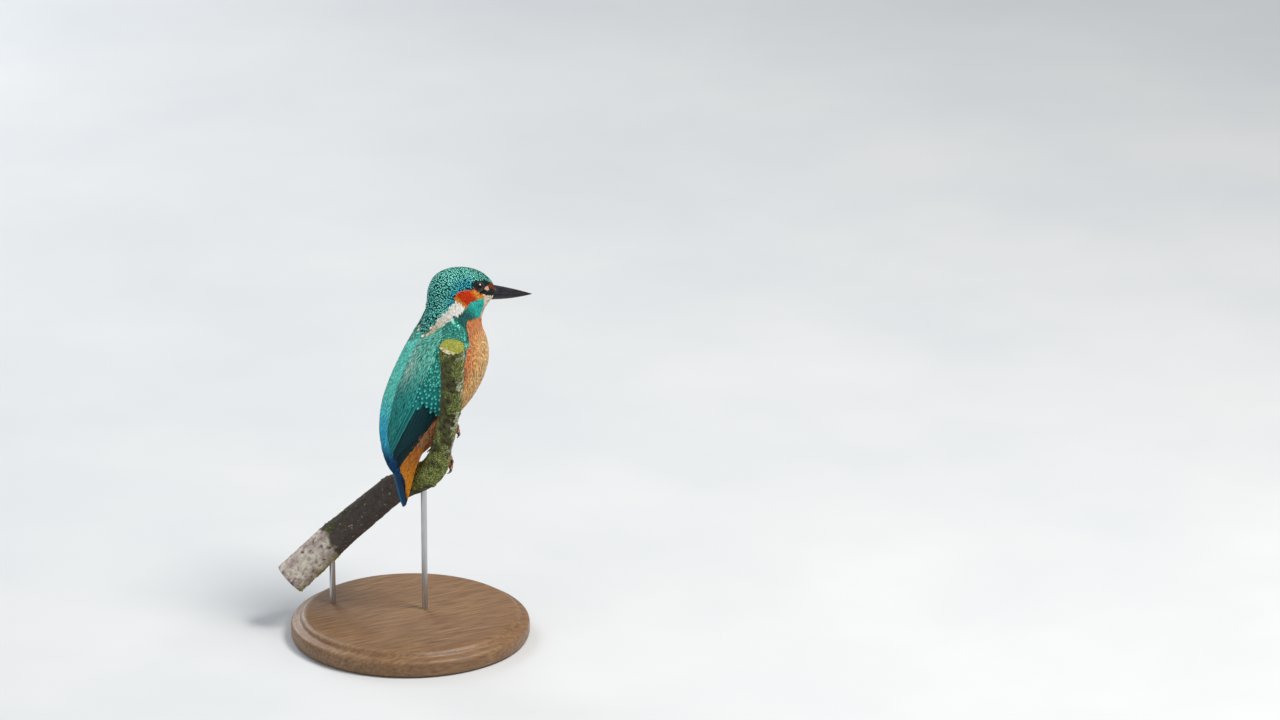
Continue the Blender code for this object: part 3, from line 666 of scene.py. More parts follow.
CROWN, LORE, EAR, WHITE, MALAR, THROAT, BREAST, BACK, WINGS, VENT, SPOT, RUSTY, SIDE = range(13)
CROWN_EDGE = [(0.0, 34), (0.54, 38), (1.44, 46), (2.2, 54), (3.1, 52), (3.7, 56), (4.5, 60), (5.1, 57),
              (5.74, 53), (6.03, 56), (6.64, 44), (7.18, 33), (7.74, 22), (8.19, 13), (8.62, 7), (8.7, -1)]
OUTLINES = {
    EAR: [(5.80, 52), (5.09, 57), (4.54, 64), (4.03, 73), (3.71, 82), (3.10, 95), (3.4, 99), (4.16, 93),
          (5.09, 86), (5.76, 80), (5.86, 66)],
    WHITE: [(5.9, 55), (6.03, 56), (6.64, 44), (7.18, 33), (7.74, 22), (8.19, 13), (8.75, 5), (8.66, 27),
            (8.22, 38), (7.76, 47), (7.22, 58), (6.46, 71), (5.80, 79)],
    MALAR: [(3.30, 99), (3.45, 114), (4.23, 125), (5.18, 124), (6.19, 98), (6.70, 84), (7.35, 78),
            (7.60, 62), (7.16, 56), (6.46, 70), (5.70, 81), (4.77, 88), (3.89, 95)],
    SIDE: [(6.6, 86), (7.11, 80), (7.6, 84), (8.3, 86), (8.6, 84), (8.4, 60), (7.5, 50), (7.1, 64)],
    LORE: [(3.9, 60), (3.4, 53), (2.3, 53), (1.5, 48), (0.9, 60), (0.9, 76), (0.0, 74), (0.0, 106),
           (1.6, 105), (2.6, 98), (3.1, 92), (3.55, 82), (3.85, 72)],
    RUSTY: [(0.0, 34), (0.54, 38), (1.5, 47), (2.25, 68), (1.9, 76), (0.9, 72), (0.0, 60)],
    SPOT: [(2.25, 68), (2.55, 70), (2.85, 76), (2.6, 84), (2.1, 80)],
}


def markings(u, a):
    """Which plumage grows at each place: the same answer colours the skin and chooses the feathers."""
    degrees = np.abs(np.degrees(a))
    found = np.full(u.shape, BREAST)
    found[(u < 5.0) & (degrees > 90)] = THROAT
    found[(u < 5.0) & (degrees < 70)] = CROWN
    found[u > 14.6] = VENT
    edge = np.interp(u, [e[0] for e in CROWN_EDGE], [e[1] for e in CROWN_EDGE])
    found[degrees < edge] = CROWN
    for kind, outline in OUTLINES.items():
        found[within(u, degrees, outline)] = kind
    wing_edge = np.interp(u, WING[:, 0], WING[:, 1])
    tail_edge = np.interp(u, [15.19, 16.02, 16.76, 17.95, 19.0], [34, 42, 46, 40, 40])
    behind = np.where(u > 15.19, tail_edge, wing_edge + left_gap(u, a))
    found[(u > 8.0) & (degrees < behind) & (found != CROWN) & (found != WHITE)] = BACK
    share = wing_share(u, a)
    found[(u > WING[0, 0]) & (u < WING[-1, 0]) & (share > 0) & (share < 1) & (found != WHITE)] = WINGS
    return found


def mixed(first, second, share):
    """Colours between two: first (1 - share) + second share."""
    share = np.asarray(share, float)[..., None]
    return np.asarray(first) * (1 - share) + np.asarray(second) * share


def breast_tone(u, degrees):
    """Underparts: orange above, apricot in the middle paling to the
    middle line, deep orange on the flanks, and brown low on the sides. The pale middle line is partly
    the plumage's own and partly a painted highlight on the breast's lit front edge; the low brown is
    partly painted shade."""
    front = smooth(degrees, 100, 136)
    tone = mixed((0.66, 0.16, 0.020), (0.78, 0.40, 0.11), smooth(u, 6.4, 8.4) * smooth(degrees, 88, 112))
    tone = mixed(tone, (0.80, 0.50, 0.22), front * smooth(u, 5.6, 8.0) * (1 - smooth(u, 12.5, 14.5)))
    flank = (1 - smooth(degrees, 90, 108)) * smooth(u, 8.6, 9.8) * (1 - smooth(u, 13.0, 14.5))
    tone = mixed(tone, (0.68, 0.15, 0.014), 0.9 * flank)
    return mixed(tone, mixed((0.42, 0.14, 0.028), (0.70, 0.30, 0.070), smooth(degrees, 110, 150)),
                 smooth(u, 12.3, 14.6))


def tones(kind, u, a):
    """The base and the mark colour of the feathers of a kind that grow at each place."""
    degrees = np.abs(np.degrees(a))
    base = np.zeros(u.shape + (3,))
    mark = np.zeros(u.shape + (3,))
    low_blue = smooth(degrees, 22, 55) * smooth(u, 3.0, 4.2) * (1 - smooth(u, 6.2, 7.4))
    # Darker along the back of the nape, near the back's middle line: painted shade.
    nape_shade = (1 - smooth(degrees, 12, 34)) * smooth(u, 4.6, 5.8)
    past_bend = smooth(below_shoulder(u, a), -0.14, 0.02)

    def along(first, second, low, high):
        """Colours that turn from the first to the second between two ring numbers."""
        return mixed(first, second, smooth(u, low, high))

    picks = {
        CROWN: (mixed(mixed((0.002, 0.062, 0.052), (0.003, 0.050, 0.072), low_blue), (0.002, 0.036, 0.032),
                      nape_shade),
                mixed(mixed((0.30, 1.00, 0.84), (0.05, 0.56, 0.66), low_blue), (0.24, 1.00, 0.86),
                      nape_shade)),
        LORE: ((0.012, 0.011, 0.010), (0.03, 0.045, 0.04)),
        EAR: (mixed((0.72, 0.26, 0.030), (0.58, 0.026, 0.002),
                    smooth(u, 3.9, 4.5) * (1 - smooth(u, 5.35, 5.7))),
              mixed((0.76, 0.32, 0.05), (0.64, 0.050, 0.005),
                    smooth(u, 3.9, 4.5) * (1 - smooth(u, 5.3, 5.7)))),
        WHITE: (along((0.92, 0.88, 0.80), (0.80, 0.68, 0.46), 7.0, 8.4),
                along((0.97, 0.94, 0.88), (0.88, 0.78, 0.56), 7.0, 8.4)),
        MALAR: (along((0.010, 0.35, 0.30), (0.010, 0.060, 0.062), 5.0, 6.3),
                along((0.05, 0.56, 0.49), (0.03, 0.15, 0.14), 5.0, 6.3)),
        THROAT: (along((0.78, 0.64, 0.47), (0.70, 0.36, 0.15), 4.2, 5.0), (0.84, 0.74, 0.60)),
        BREAST: (breast_tone(u, degrees), mixed(breast_tone(u, degrees), (0.82, 0.62, 0.40), 0.30)),
        BACK: (along(along((0.085, 0.58, 0.47), (0.028, 0.38, 0.56), 11.6, 13.8), (0.003, 0.036, 0.105),
                     13.7, 15.2),
               along(along((0.24, 0.95, 0.80), (0.09, 0.72, 0.98), 11.6, 13.8), (0.008, 0.085, 0.24),
                     13.8, 15.4)),
        WINGS: (along((0.016, 0.150, 0.120), (0.010, 0.130, 0.135), 10.5, 12.5),
                along((0.08, 0.46, 0.38), (0.05, 0.44, 0.46), 11.0, 12.5)),
        # Next to the belly the vent is darker, partly painted shade; under the tail it is bright orange.
        VENT: (along((0.52, 0.14, 0.022), (1.0, 0.34, 0.014), 14.6, 17.0),
               along((0.66, 0.24, 0.05), (1.0, 0.40, 0.035), 14.8, 17.2)),
        SPOT: ((0.84, 0.48, 0.32), (0.90, 0.62, 0.47)),
        RUSTY: ((0.20, 0.030, 0.008), (0.30, 0.065, 0.020)),
        # Dark teal above the wing's bend, partly painted shade under the neck, and bright teal past it.
        SIDE: (mixed((0.008, 0.080, 0.066), (0.06, 0.46, 0.35), past_bend),
               mixed((0.03, 0.20, 0.165), (0.20, 0.80, 0.62), past_bend)),
    }
    for one, (first, second) in picks.items():
        there = kind == one
        base[there] = np.broadcast_to(first, base.shape)[there]
        mark[there] = np.broadcast_to(second, mark.shape)[there]
    return base, mark


def coat_depth(u):
    """How deep the skin lies under the coat's surface: thin at the bill,
    deepest on the trunk, thin at the tail."""
    return np.interp(u, [0, 1, 2.5, 6, 9, 14, 17, 19], [0.25, 0.5, 0.8, 1.1, 1.7, 1.6, 0.8, 0.3])


# ---------------------------------------------------------------- the coat: how a feather is made
# Each contour feather is a thin closed vane: a low roof along its shaft, narrow at the root, rounded or
# ragged at the tip, and it lies back over the next row so that only its end shows.
EYE = np.array([13.7, 7.6, 84.9])
EYE_RADIUS = 3.1
LID_RADIUS = 2.15
EYE_TO_LIDS = (0.35, 2.6, 0.3)
rng = np.random.default_rng(7)
LAST_RING = 19
METRIC_END = 18.98
METRIC_ROWS = 240
METRIC_COLUMNS = 121
metric_u = np.linspace(0.02, METRIC_END, METRIC_ROWS)
metric_a = np.radians(np.linspace(-180, 180, METRIC_COLUMNS))
gu, ga = np.meshgrid(metric_u, metric_a, indexing="ij")
metric_points = body(gu.ravel(), ga.ravel()).reshape(gu.shape + (3,))
ring_pitch = np.linalg.norm(np.gradient(metric_points, metric_u, axis=0), axis=-1)
angle_pitch = np.linalg.norm(np.gradient(metric_points, metric_a, axis=1), axis=-1)


def pitch_at(u, a):
    """Millimetres for each ring number at a place, from the table of the surface's slopes."""
    i = np.clip(np.rint(u / METRIC_END * (METRIC_ROWS - 1)), 0, METRIC_ROWS - 1).astype(int)
    j = np.clip(np.rint((np.degrees(a) + 180) / 3), 0, METRIC_COLUMNS - 1).astype(int)
    return ring_pitch[i, j]


def shown(u, a, length):
    """Where the part of a feather that shows lies: three quarters of its length on from its root."""
    return np.minimum(u + 0.72 * length / pitch_at(u, a), 18.95)


def rooted(u_span, a_span, along, across, keep, length=0.0, jitter=0.12):
    """Feather roots in staggered rows, `along` apart down the body and `across` apart round it, in
    millimetres. Rows are as far apart as that where the rings open widest; where they close up, some roots
    are left out. `keep` picks the feathers by the place where they show."""
    inside = (metric_a >= np.radians(a_span[0]) - 1e-6) & (metric_a <= np.radians(a_span[1]) + 1e-6)
    widest = ring_pitch[:, inside].max(axis=1)
    distance = np.concatenate([[0], np.cumsum((widest[1:] + widest[:-1]) / 2 * np.diff(metric_u))])
    begin, end = np.interp(u_span, metric_u, distance)
    all_u = []
    all_a = []
    for row, at in enumerate(np.arange(begin, end, along)):
        u = np.interp(at, distance, metric_u)
        spread = np.radians(np.linspace(*a_span, 90))
        pitch = np.interp(spread, metric_a,
                          angle_pitch[np.searchsorted(metric_u, u).clip(0, METRIC_ROWS - 1)])
        reach = np.concatenate([[0], np.cumsum((pitch[1:] + pitch[:-1]) / 2 * np.diff(spread))])
        count = max(int(reach[-1] / across), 1)
        places = (np.arange(count) + 0.25 + 0.5 * (row % 2)) / count * reach[-1]
        all_a.append(np.interp(places, reach, spread))
        all_u.append(np.full(count, u))
    u = np.concatenate(all_u)
    a = np.concatenate(all_a)
    i = np.searchsorted(metric_u, u).clip(0, METRIC_ROWS - 1)
    j = np.searchsorted(metric_a, a).clip(0, METRIC_COLUMNS - 1)
    share = ring_pitch[i, j] / widest[i]
    u = u + rng.normal(0, jitter, len(u)) * along / ring_pitch[i, j]
    a = a + rng.normal(0, jitter, len(a)) * across / angle_pitch[i, j]
    chosen = (rng.random(len(u)) < share * 1.1) & (u > 0.03) & (u < 18.9)
    u, a = u[chosen], a[chosen]
    kept = keep(shown(u, a, length) + rng.normal(0, 0.02, len(u)), a + rng.normal(0, 0.018, len(a)))
    return u[kept], a[kept]


def outline_of(s, root, pointed):
    """A vane's half width along it: from `root` of its full width, opening to full by half way, then closing
    like a circle (pointed 2) or more sharply (towards 1) at the tip."""
    open_out = root + (1 - root) * smooth(s, 0.0, 0.5)
    close = (1 - np.clip((s - 0.5) / 0.5, 0, 1) ** pointed) ** (1 / 2)
    return open_out * np.maximum(close, 0.06)


def slopes(surface, u, a, step):
    """How a surface's points move for one of each parameter: (f(u + step)
    - f(u - step)) / (2 step), then for a."""
    by_u = (surface(u + step, a) - surface(u - step, a)) / (2 * step)
    by_a = (surface(u, a + step) - surface(u, a - step)) / (2 * step)
    return by_u, by_a


def steps_along(way, by_u, by_a):
    """The parameters' steps for one millimetre along a way: two
    equations in the slopes' dot products, solved."""
    uu, ua, aa = (by_u * by_u).sum(1), (by_u * by_a).sum(1), (by_a * by_a).sum(1)
    first, second = (way * by_u).sum(1), (way * by_a).sum(1)
    scale = uu * aa - ua**2
    return (first * aa - second * ua) / scale, (second * uu - first * ua) / scale


def vanes(name, u, a, length, width, mask, material, depth=None, rows=6, columns=5, ragged=0.06, root=0.35,
          pointed=2.2, camber=0.10, raised=0.0, swing=None, over=None, tone=None, curl=0.0,
          wander=0.05, shade=0.5):
    """One piece of many vanes. Each point's place is worked out on the bird's surface: along the
    lie and across it in millimetres, turned into steps of ring number and angle by the surface's
    slopes there, then out by a height that rises from the skin at the root, fast and then
    slowly, to the coat's surface at the tip."""
    count = len(u)
    over = over or (lambda u, a: np.zeros(u.shape))
    length = np.broadcast_to(length, count) * (1 + 0.10 * rng.normal(size=count)).clip(0.75, 1.3)
    width = np.broadcast_to(width, count) * (1 + 0.08 * rng.normal(size=count)).clip(0.75, 1.3)
    depth = coat_depth(u) if depth is None else np.broadcast_to(depth, count)
    su, sa = slopes(lambda u, a: turned(body(u, a)), u, a, 0.004)
    lean = rng.normal(0, wander, count)
    lie = unit(su + (0 if swing is None else swing[:, None] * sa))
    outward = unit(np.cross(sa, su))
    side = np.cross(outward, lie)
    lie = unit(lie + side * lean[:, None])
    side = np.cross(outward, lie)
    lie_u, lie_a = steps_along(lie, su, sa)
    side_u, side_a = steps_along(side, su, sa)
    s = np.linspace(0, 1, rows + 1) ** 0.8
    c = np.linspace(-1, 1, columns)
    tip_share = smooth(s, 0.55, 1.0)
    tatter = rng.uniform(-1, 1, (count, 1, columns)) * ragged * tip_share[None, :, None]
    far = (s[None, :, None] + tatter) * length[:, None, None]
    far = far - 0.16 * (c**2)[None, None] * (tip_share * 0.5)[None, :, None] * width[:, None, None]
    wide = outline_of(s, root, pointed)[None, :, None] * c[None, None] * width[:, None, None] / 2
    tall = (-depth[:, None, None] * (0.33 * (1 - s) + 0.67 * (1 - s) ** 4)[None, :, None] + raised
            + rng.uniform(-0.04, 0.07, (count, 1, 1)) * s[None, :, None]
            + camber * (1 - (c**2)[None, None]) * width[:, None, None] * (0.4 + 0.6 * s[None, :, None])
            + curl * (s**3)[None, :, None])
    point_u = u[:, None, None] + far * lie_u[:, None, None] + wide * side_u[:, None, None]
    point_u = np.clip(point_u, 0.0, 18.999)
    point_a = a[:, None, None] + far * lie_a[:, None, None] + wide * side_a[:, None, None]
    flat_u, flat_a = point_u.ravel(), point_a.ravel()
    places = on_bird(flat_u, flat_a, over(flat_u, flat_a) + np.broadcast_to(tall, point_u.shape).ravel())
    share = mask(s[:, None], c[None]) if callable(mask) else mask
    u_shown = shown(u, a, length)
    base, mark = tones(markings(u_shown, a), u_shown, a) if tone is None else tone
    vary = 1 + 0.10 * rng.normal(size=(count, 1))
    colours = mixed((base * vary)[:, None, None], (mark * vary)[:, None, None],
                    np.broadcast_to(share, (count,) + share.shape) if share.ndim == 2 else share)
    # Darker towards the root: partly the feathers' own greyer bases, partly painted shade deep in the coat.
    colours = colours * (shade + (1 - shade) * smooth(s, 0.0, 0.4))[None, :, None, None]
    made = woven(name, places.reshape(count, rows + 1, columns, 3), colours, far, wide,
                 u / LAST_RING, (a / (2 * np.pi)) % 1.0, material)
    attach(made, "root")
    return made


def woven(name, grid, colours, far, wide, root_s, root_t, material, patch=0.003):
    """Closed vanes from a grid of points (feather, row, column): the roof's quads, one quad under each row
    from edge to edge, and a polygon across root and tip. Two UV maps: `vane` in millimetres from the shaft
    and from the root, and OFBake, a small patch for each vane at its root's place on the unrolled skin."""
    count, rows, columns, _ = grid.shape
    index = np.arange(count * rows * columns).reshape(count, rows, columns)
    roof = np.stack([index[:, :-1, :-1], index[:, 1:, :-1], index[:, 1:, 1:], index[:, :-1, 1:]], axis=-1)
    below = np.stack([index[:, :-1, 0], index[:, :-1, -1], index[:, 1:, -1], index[:, 1:, 0]], axis=-1)
    quads = np.concatenate([roof.reshape(-1, 4), below.reshape(-1, 4)])
    ends = np.concatenate([index[:, 0, :], index[:, -1, ::-1]])
    made = solid(name, grid, quads, ends, [material])
    mesh = made.data
    sharp = np.zeros(len(mesh.polygons), bool)
    sharp[roof.size // 4:] = True
    flags = mesh.attributes.new("sharp_face", "BOOLEAN", "FACE")
    flags.data.foreach_set("value", sharp)
    tinted(made, "plumage", colours.reshape(-1, 3))
    corner = np.empty(len(mesh.loops), np.int32)
    mesh.loops.foreach_get("vertex_index", corner)
    far = np.broadcast_to(far, index.shape)
    wide = np.broadcast_to(wide, index.shape)
    reach = np.maximum(far.max(axis=(1, 2)), 1e-6)[:, None, None]
    half = np.maximum(wide.max(axis=(1, 2)), 1e-6)[:, None, None]
    spot_s = root_s[:, None, None] + (far / reach - 0.5) * patch
    spot_t = root_t[:, None, None] + wide / half * 0.5 * patch
    for layer_name, first, second in (("OFBake", spot_s * 0.99 + 0.005, spot_t * 0.99 + 0.005),
                                      ("vane", wide, far)):
        layer = mesh.uv_layers.new(name=layer_name)
        both = np.stack([first.ravel(), second.ravel()], axis=-1).astype(np.float32)
        layer.data.foreach_set("uv", both[corner].ravel())
    return made


# Barbs run out from the shaft towards the tip as fine slanting lines, with here and there a parting.
barbs = bpy.data.node_groups.new("feather_barbs", "ShaderNodeTree")
barbs.interface.new_socket("Spacing", in_out="INPUT", socket_type="NodeSocketFloat").default_value = 0.25
barbs.interface.new_socket("Lines", in_out="OUTPUT", socket_type="NodeSocketFloat")
barbs.interface.new_socket("Height", in_out="OUTPUT", socket_type="NodeSocketFloat")
group_in = barbs.nodes.new("NodeGroupInput")
group_out = barbs.nodes.new("NodeGroupOutput")
vane_place = place(barbs, "ShaderNodeSeparateXYZ", {
    "Vector": place(barbs, "ShaderNodeUVMap", uv_map="vane").outputs[0]}).outputs
from_shaft = reckoned(barbs, "ABSOLUTE", vane_place[0])
parting = speckle(barbs, 900.0, 3.0, 0.6)
slanted = reckoned(barbs, "SUBTRACT", vane_place[1], reckoned(barbs, "MULTIPLY", from_shaft, 0.9))
slanted = reckoned(barbs, "ADD", slanted, reckoned(barbs, "MULTIPLY", parting, 0.25))
waves = reckoned(barbs, "SINE", reckoned(barbs, "DIVIDE", reckoned(barbs, "MULTIPLY", slanted, 6.2832),
                                         group_in.outputs["Spacing"]))
lines = reckoned(barbs, "ADD", reckoned(barbs, "MULTIPLY", waves, 0.5), 0.5)
shaft = reckoned(barbs, "SUBTRACT", 1.0, reckoned(barbs, "DIVIDE", from_shaft, 0.07, clamp=True), clamp=True)
barbs.links.new(lines, group_out.inputs["Lines"])
barbs.links.new(reckoned(barbs, "ADD", reckoned(barbs, "MULTIPLY", lines, 0.5), shaft),
                group_out.inputs["Height"])


def plumage_paint(name, spacing, dark, light, rough, sheen, bump, specular):
    """A feather material: the piece's own colours, lightened along each barb and darkened between them."""
    material, tree, shader = blank(name)
    tone = painted_on(tree, "plumage")
    group = tree.nodes.new("ShaderNodeGroup")
    group.node_tree = barbs
    group.inputs["Spacing"].default_value = spacing
    cloud = speckle(tree, 700.0, 3.0, 0.6)
    line_tone = ramped(tree, group.outputs["Lines"], [(0.0, dark), (1.0, light)])
    colour = blended(tree, 1.0, tone, line_tone, "MULTIPLY")
    colour = blended(tree, 1.0, colour, ramped(tree, cloud, [(0.3, 0.82), (0.7, 1.12)]), "MULTIPLY")
    finished(tree, shader, colour, ramped(tree, cloud, [(0.3, rough - 0.06), (0.7, rough + 0.08)]),
             group.outputs["Height"], bump, 0.00008)
    shader.inputs["Sheen Weight"].default_value = sheen
    shader.inputs["Sheen Roughness"].default_value = 0.4
    shader.inputs["Specular IOR Level"].default_value = specular
    return material


gloss_paint = plumage_paint("glossy_plumage", spacing=0.22, dark=0.78, light=1.24, rough=0.58, sheen=0.0,
                            bump=0.40, specular=0.12)
soft_paint = plumage_paint("soft_plumage", spacing=0.20, dark=0.86, light=1.12, rough=0.80, sheen=0.06,
                           bump=0.35, specular=0.10)


def of_kind(*kinds):
    """A test that is true where one of these plumages grows, outside the eyelids."""
    return lambda u, a: np.isin(markings(u, a), kinds) & clear_of_eye(u, a)


def left_image(points):
    """Points with the right side's laid over the left side's: (x, y without its sign, z)."""
    return points * (1, 0, 1) + np.abs(points[:, 1:2]) * (0, 1, 0)


def clear_of_eye(u, a):
    """True where a root is outside the eyelids: further than their
    radius from the middle of their opening."""
    away = (left_image(body(u, a)) - EYE - EYE_TO_LIDS) * (1, 0.6, 1)
    return np.linalg.norm(away, axis=1) > LID_RADIUS + 0.35


def short_of_eye(u, a, length):
    """Feathers rooted before the eye, which point at it, are cut short of its lids: 0.85 of the way there."""
    here = left_image(body(u, a))
    away = np.linalg.norm(here - EYE - EYE_TO_LIDS, axis=1)
    before = here[:, 0] > EYE[0] - 0.5
    return np.where(before, np.minimum(length, np.maximum(0.45, 0.85 * (away - LID_RADIUS))), length)


def barred(s, c):
    """A bright rounded mark across the vane just short of its dark tip, bowed with the tip."""
    at = s + 0.10 * c**2
    return smooth(at, 0.70, 0.79) * (1 - smooth(at, 0.88, 0.96)) * (1 - smooth(np.abs(c), 0.30, 0.80))


def tipped(s, c):
    """Pale towards the tip and the edges."""
    return smooth(s + 0.12 * c**2, 0.62, 1.0)


def shafted(s, c):
    """Brighter along the middle, duller at the edges."""
    return (1 - smooth(np.abs(c), 0.2, 1.0)) * smooth(s, 0.3, 0.8)


def spotted(s, c):
    """A small bright round spot by the vane's end."""
    return 1 - smooth(np.hypot((s - 0.86) / 0.10, c / 0.50), 0.5, 1.0)


# ---------------------------------------------------------------- the head's feathers
# Short close feathers from the bill back: a crown and nape of dark ones, each with a turquoise bar, black
# lores, red-orange ear coverts, a white neck patch, a turquoise streak from the bill and a pale throat.
def both_sides(u_span, a_span, along, across, keep, length=0.0):
    """Roots on one side of the breast's middle line, and others on the other side."""
    first = rooted(u_span, a_span, along, across, keep, length)
    second = rooted(u_span, (-a_span[1], -a_span[0]), along, across, keep, length)
    return np.concatenate([first[0], second[0]]), np.concatenate([first[1], second[1]])


u, a = rooted((0.0, 1.5), (-66, 66), 0.52, 0.55, of_kind(CROWN), 1.0)
vanes("coat_forehead", u, a, short_of_eye(u, a, 1.5 + 0.5 * u), 0.85, barred, gloss_paint, columns=5,
      ragged=0.06, camber=0.08)
u, a = rooted((1.2, 8.5), (-66, 66), 1.0, 0.92, of_kind(CROWN), 2.6)
size = np.interp(u, [1.2, 3, 6, 8.4], [0.72, 0.95, 1.1, 1.35])
crest = smooth(u, 4.8, 7.6) * (1 - smooth(np.abs(np.degrees(a)), 10, 30))
vanes("coat_crown", u, a, 2.7 * size * (1 + 0.35 * crest), 1.5 * size, barred, gloss_paint, rows=8,
      columns=5, ragged=0.07, camber=0.08, pointed=2.3, depth=coat_depth(u) * 0.95, shade=0.7, wander=0.09,
      raised=(0.06 + 0.30 * crest)[:, None, None],
      curl=(crest * rng.uniform(0.0, 0.9, len(u)))[:, None, None])
u, a = rooted((0.0, 4.0), (-100, 100), 0.42, 0.40, of_kind(LORE), 1.0)
vanes("coat_lore", u, a, short_of_eye(u, a, 1.4), 0.42, tipped, soft_paint, rows=4, columns=3, ragged=0.15,
      pointed=1.5, camber=0.06)
u, a = rooted((0.0, 3.0), (-90, 90), 0.42, 0.36, of_kind(RUSTY, SPOT), 1.1)
vanes("coat_loral_spot", u, a, short_of_eye(u, a, 1.5), 0.5, tipped, soft_paint, rows=4, columns=3,
      ragged=0.12, pointed=1.6, camber=0.06, shade=0.7)
u, a = rooted((2.6, 5.8), (-104, 104), 0.52, 0.42, of_kind(EAR), 2.4)
vanes("coat_ear", u, a, short_of_eye(u, a, 2.6), 0.60, tipped, soft_paint, rows=6, columns=3, ragged=0.15,
      pointed=1.5, camber=0.05, shade=0.95)
u, a = rooted((5.2, 8.6), (-84, 84), 0.62, 0.52, of_kind(WHITE), 3.4)
vanes("coat_neck_patch", u, a, 3.6, 0.85, tipped, soft_paint, rows=7, columns=3, ragged=0.14, pointed=1.6,
      camber=0.04, shade=0.95, raised=0.15)
u, a = rooted((2.9, 8.5), (-130, 130), 0.80, 0.68, of_kind(MALAR, SIDE), 2.5)
vanes("coat_malar", u, a, short_of_eye(u, a, 2.6), 1.1, tipped, gloss_paint, rows=6, columns=5, ragged=0.10,
      camber=0.06, pointed=1.8, shade=0.8)
u, a = both_sides((0.03, 5.2), (84, 180), 0.55, 0.50, of_kind(THROAT), 1.8)
vanes("coat_throat", u, a, short_of_eye(u, a, 2.2), 0.68, tipped, soft_paint, rows=5, columns=3, ragged=0.16,
      pointed=1.5, camber=0.05, shade=0.9)

# ---------------------------------------------------------------- the body's feathers
# Breast, belly and flanks have fine soft feathers with loose pale ends; the back has a stripe of narrow
# silky ones, mint above and deep blue by the tail; under the tail they are long and orange.
u, a = both_sides((4.6, 8.9), (60, 180), 0.85, 0.68, of_kind(BREAST), 3.6)
vanes("coat_breast", u, a, 3.9, 1.02, tipped, soft_paint, rows=6, columns=3, ragged=0.18,
      camber=0.05, shade=0.95, pointed=1.6, wander=0.10)
u, a = both_sides((8.5, 14.7), (60, 180), 1.15, 0.88, of_kind(BREAST), 4.6)
vanes("coat_belly", u, a, 5.2, 1.35, tipped, soft_paint, rows=6, columns=3, ragged=0.20,
      camber=0.05, shade=0.95, pointed=1.6, wander=0.12)
u, a = both_sides((14.1, 18.4), (30, 180), 1.0, 0.80, of_kind(VENT), 4.5)
vanes("coat_vent", u, a, np.interp(u, [14.5, 17, 18.4], [6.0, 5.5, 3.0]),
      np.interp(u, [14.5, 17, 18.4], [1.7, 1.4, 0.9]), tipped, soft_paint, rows=7, columns=3, ragged=0.14,
      pointed=1.6, camber=0.06, shade=0.97)


def on_stripe(u, a):
    """The back stripe's place: from the nape to the tail, spreading a little over both wings' edges."""
    edge = np.interp(u, WING[:, 0], WING[:, 1]) + left_gap(u, a)
    edge = edge + np.interp(u, [8.6, 9.6, 12.0, 13.4, 14.8], [0.0, 1.5, 1.5, 1.0, -2.5])
    edge = np.where(u > 15.2, np.interp(u, [15.2, 16.0, 16.8, 18.0], [35, 43, 46, 40]), edge)
    return (u > 8.45) & (np.abs(np.degrees(a)) < edge) & (markings(u, a) != CROWN) & (markings(u, a) != WHITE)


u, a = rooted((8.1, 18.4), (-60, 60), 1.0, 0.72, on_stripe, 4.2)
stripe_u = shown(u, a, 4.2)
vanes("coat_back", u, a, np.interp(u, [8.2, 10, 16, 18.4], [3.6, 5.4, 6.2, 3.5]),
      np.interp(u, [8.2, 10, 16, 18.4], [1.1, 1.35, 1.6, 1.1]), shafted, gloss_paint, rows=8, columns=5,
      ragged=0.14, pointed=1.6, camber=0.07, depth=coat_depth(u) + 0.5,
      tone=tones(np.full(u.shape, BACK), stripe_u, a), shade=0.7,
      raised=np.interp(u, [8.2, 9.2, 12.5, 14.5, 16.5], [0.2, 1.15, 1.1, 0.7, 0.2])[:, None, None])

# ---------------------------------------------------------------- the wings
# Folded wings: small coverts with turquoise tips over the shoulder, long scapulars and tertials beside the
# back, and under them stiff dark flight feathers whose tips meet over the root of the tail.
COVERT_END = np.array([
    (8, 13.41), (28, 13.36), (38, 12.74), (41, 12.38), (49, 12.22), (57, 12.16), (68, 12.35), (81, 12.68),
    (87, 12.80),
])


def wing_swing(u, a):
    """How fast the lie turns from the rings' own way on the wing: it
    keeps its share between the wing's edges."""
    q = np.clip(wing_share(u, a), 0, 1)
    ahead, behind = [
        np.interp(u + d, WING[:, 0], WING[:, 1]) * (1 - q) + np.interp(u + d, WING[:, 0], WING[:, 2]) * q
        for d in (0.2, -0.2)
    ]
    return np.sign(a) * np.clip(np.radians(ahead - behind) / 0.4, -0.35, 0.35)


def on_wing(length):
    """Keeps the feathers outside the scapulars that end above the coverts' lower edge."""
    def keep(u, a):
        """True on the wing, outside a line by the scapulars, where a
        feather's end is above the lower edge."""
        degrees = np.abs(np.degrees(a))
        end = np.interp(degrees, COVERT_END[:, 0], COVERT_END[:, 1])
        inner = np.interp(u, [8, 9, 10.5, 11.6, 12.4], [38, 36, 30, 36, 43])
        return (markings(u, a) == WINGS) & (u + 0.25 * length / 9.6 < end) & (degrees > inner)
    return keep


def wing_tones(u, a, mark, share=0.0):
    """Coverts: green-teal above, bluer below, darker towards the flank edge."""
    q = np.clip(wing_share(u, a), 0, 1)
    base = mixed((0.022, 0.20, 0.155), (0.007, 0.16, 0.165), smooth(u, 9.0, 12.0))
    base = mixed(base, (0.010, 0.095, 0.100), np.clip(0.4 * smooth(q, 0.75, 1.0) + share, 0, 1))
    return base, np.broadcast_to(mark, base.shape)


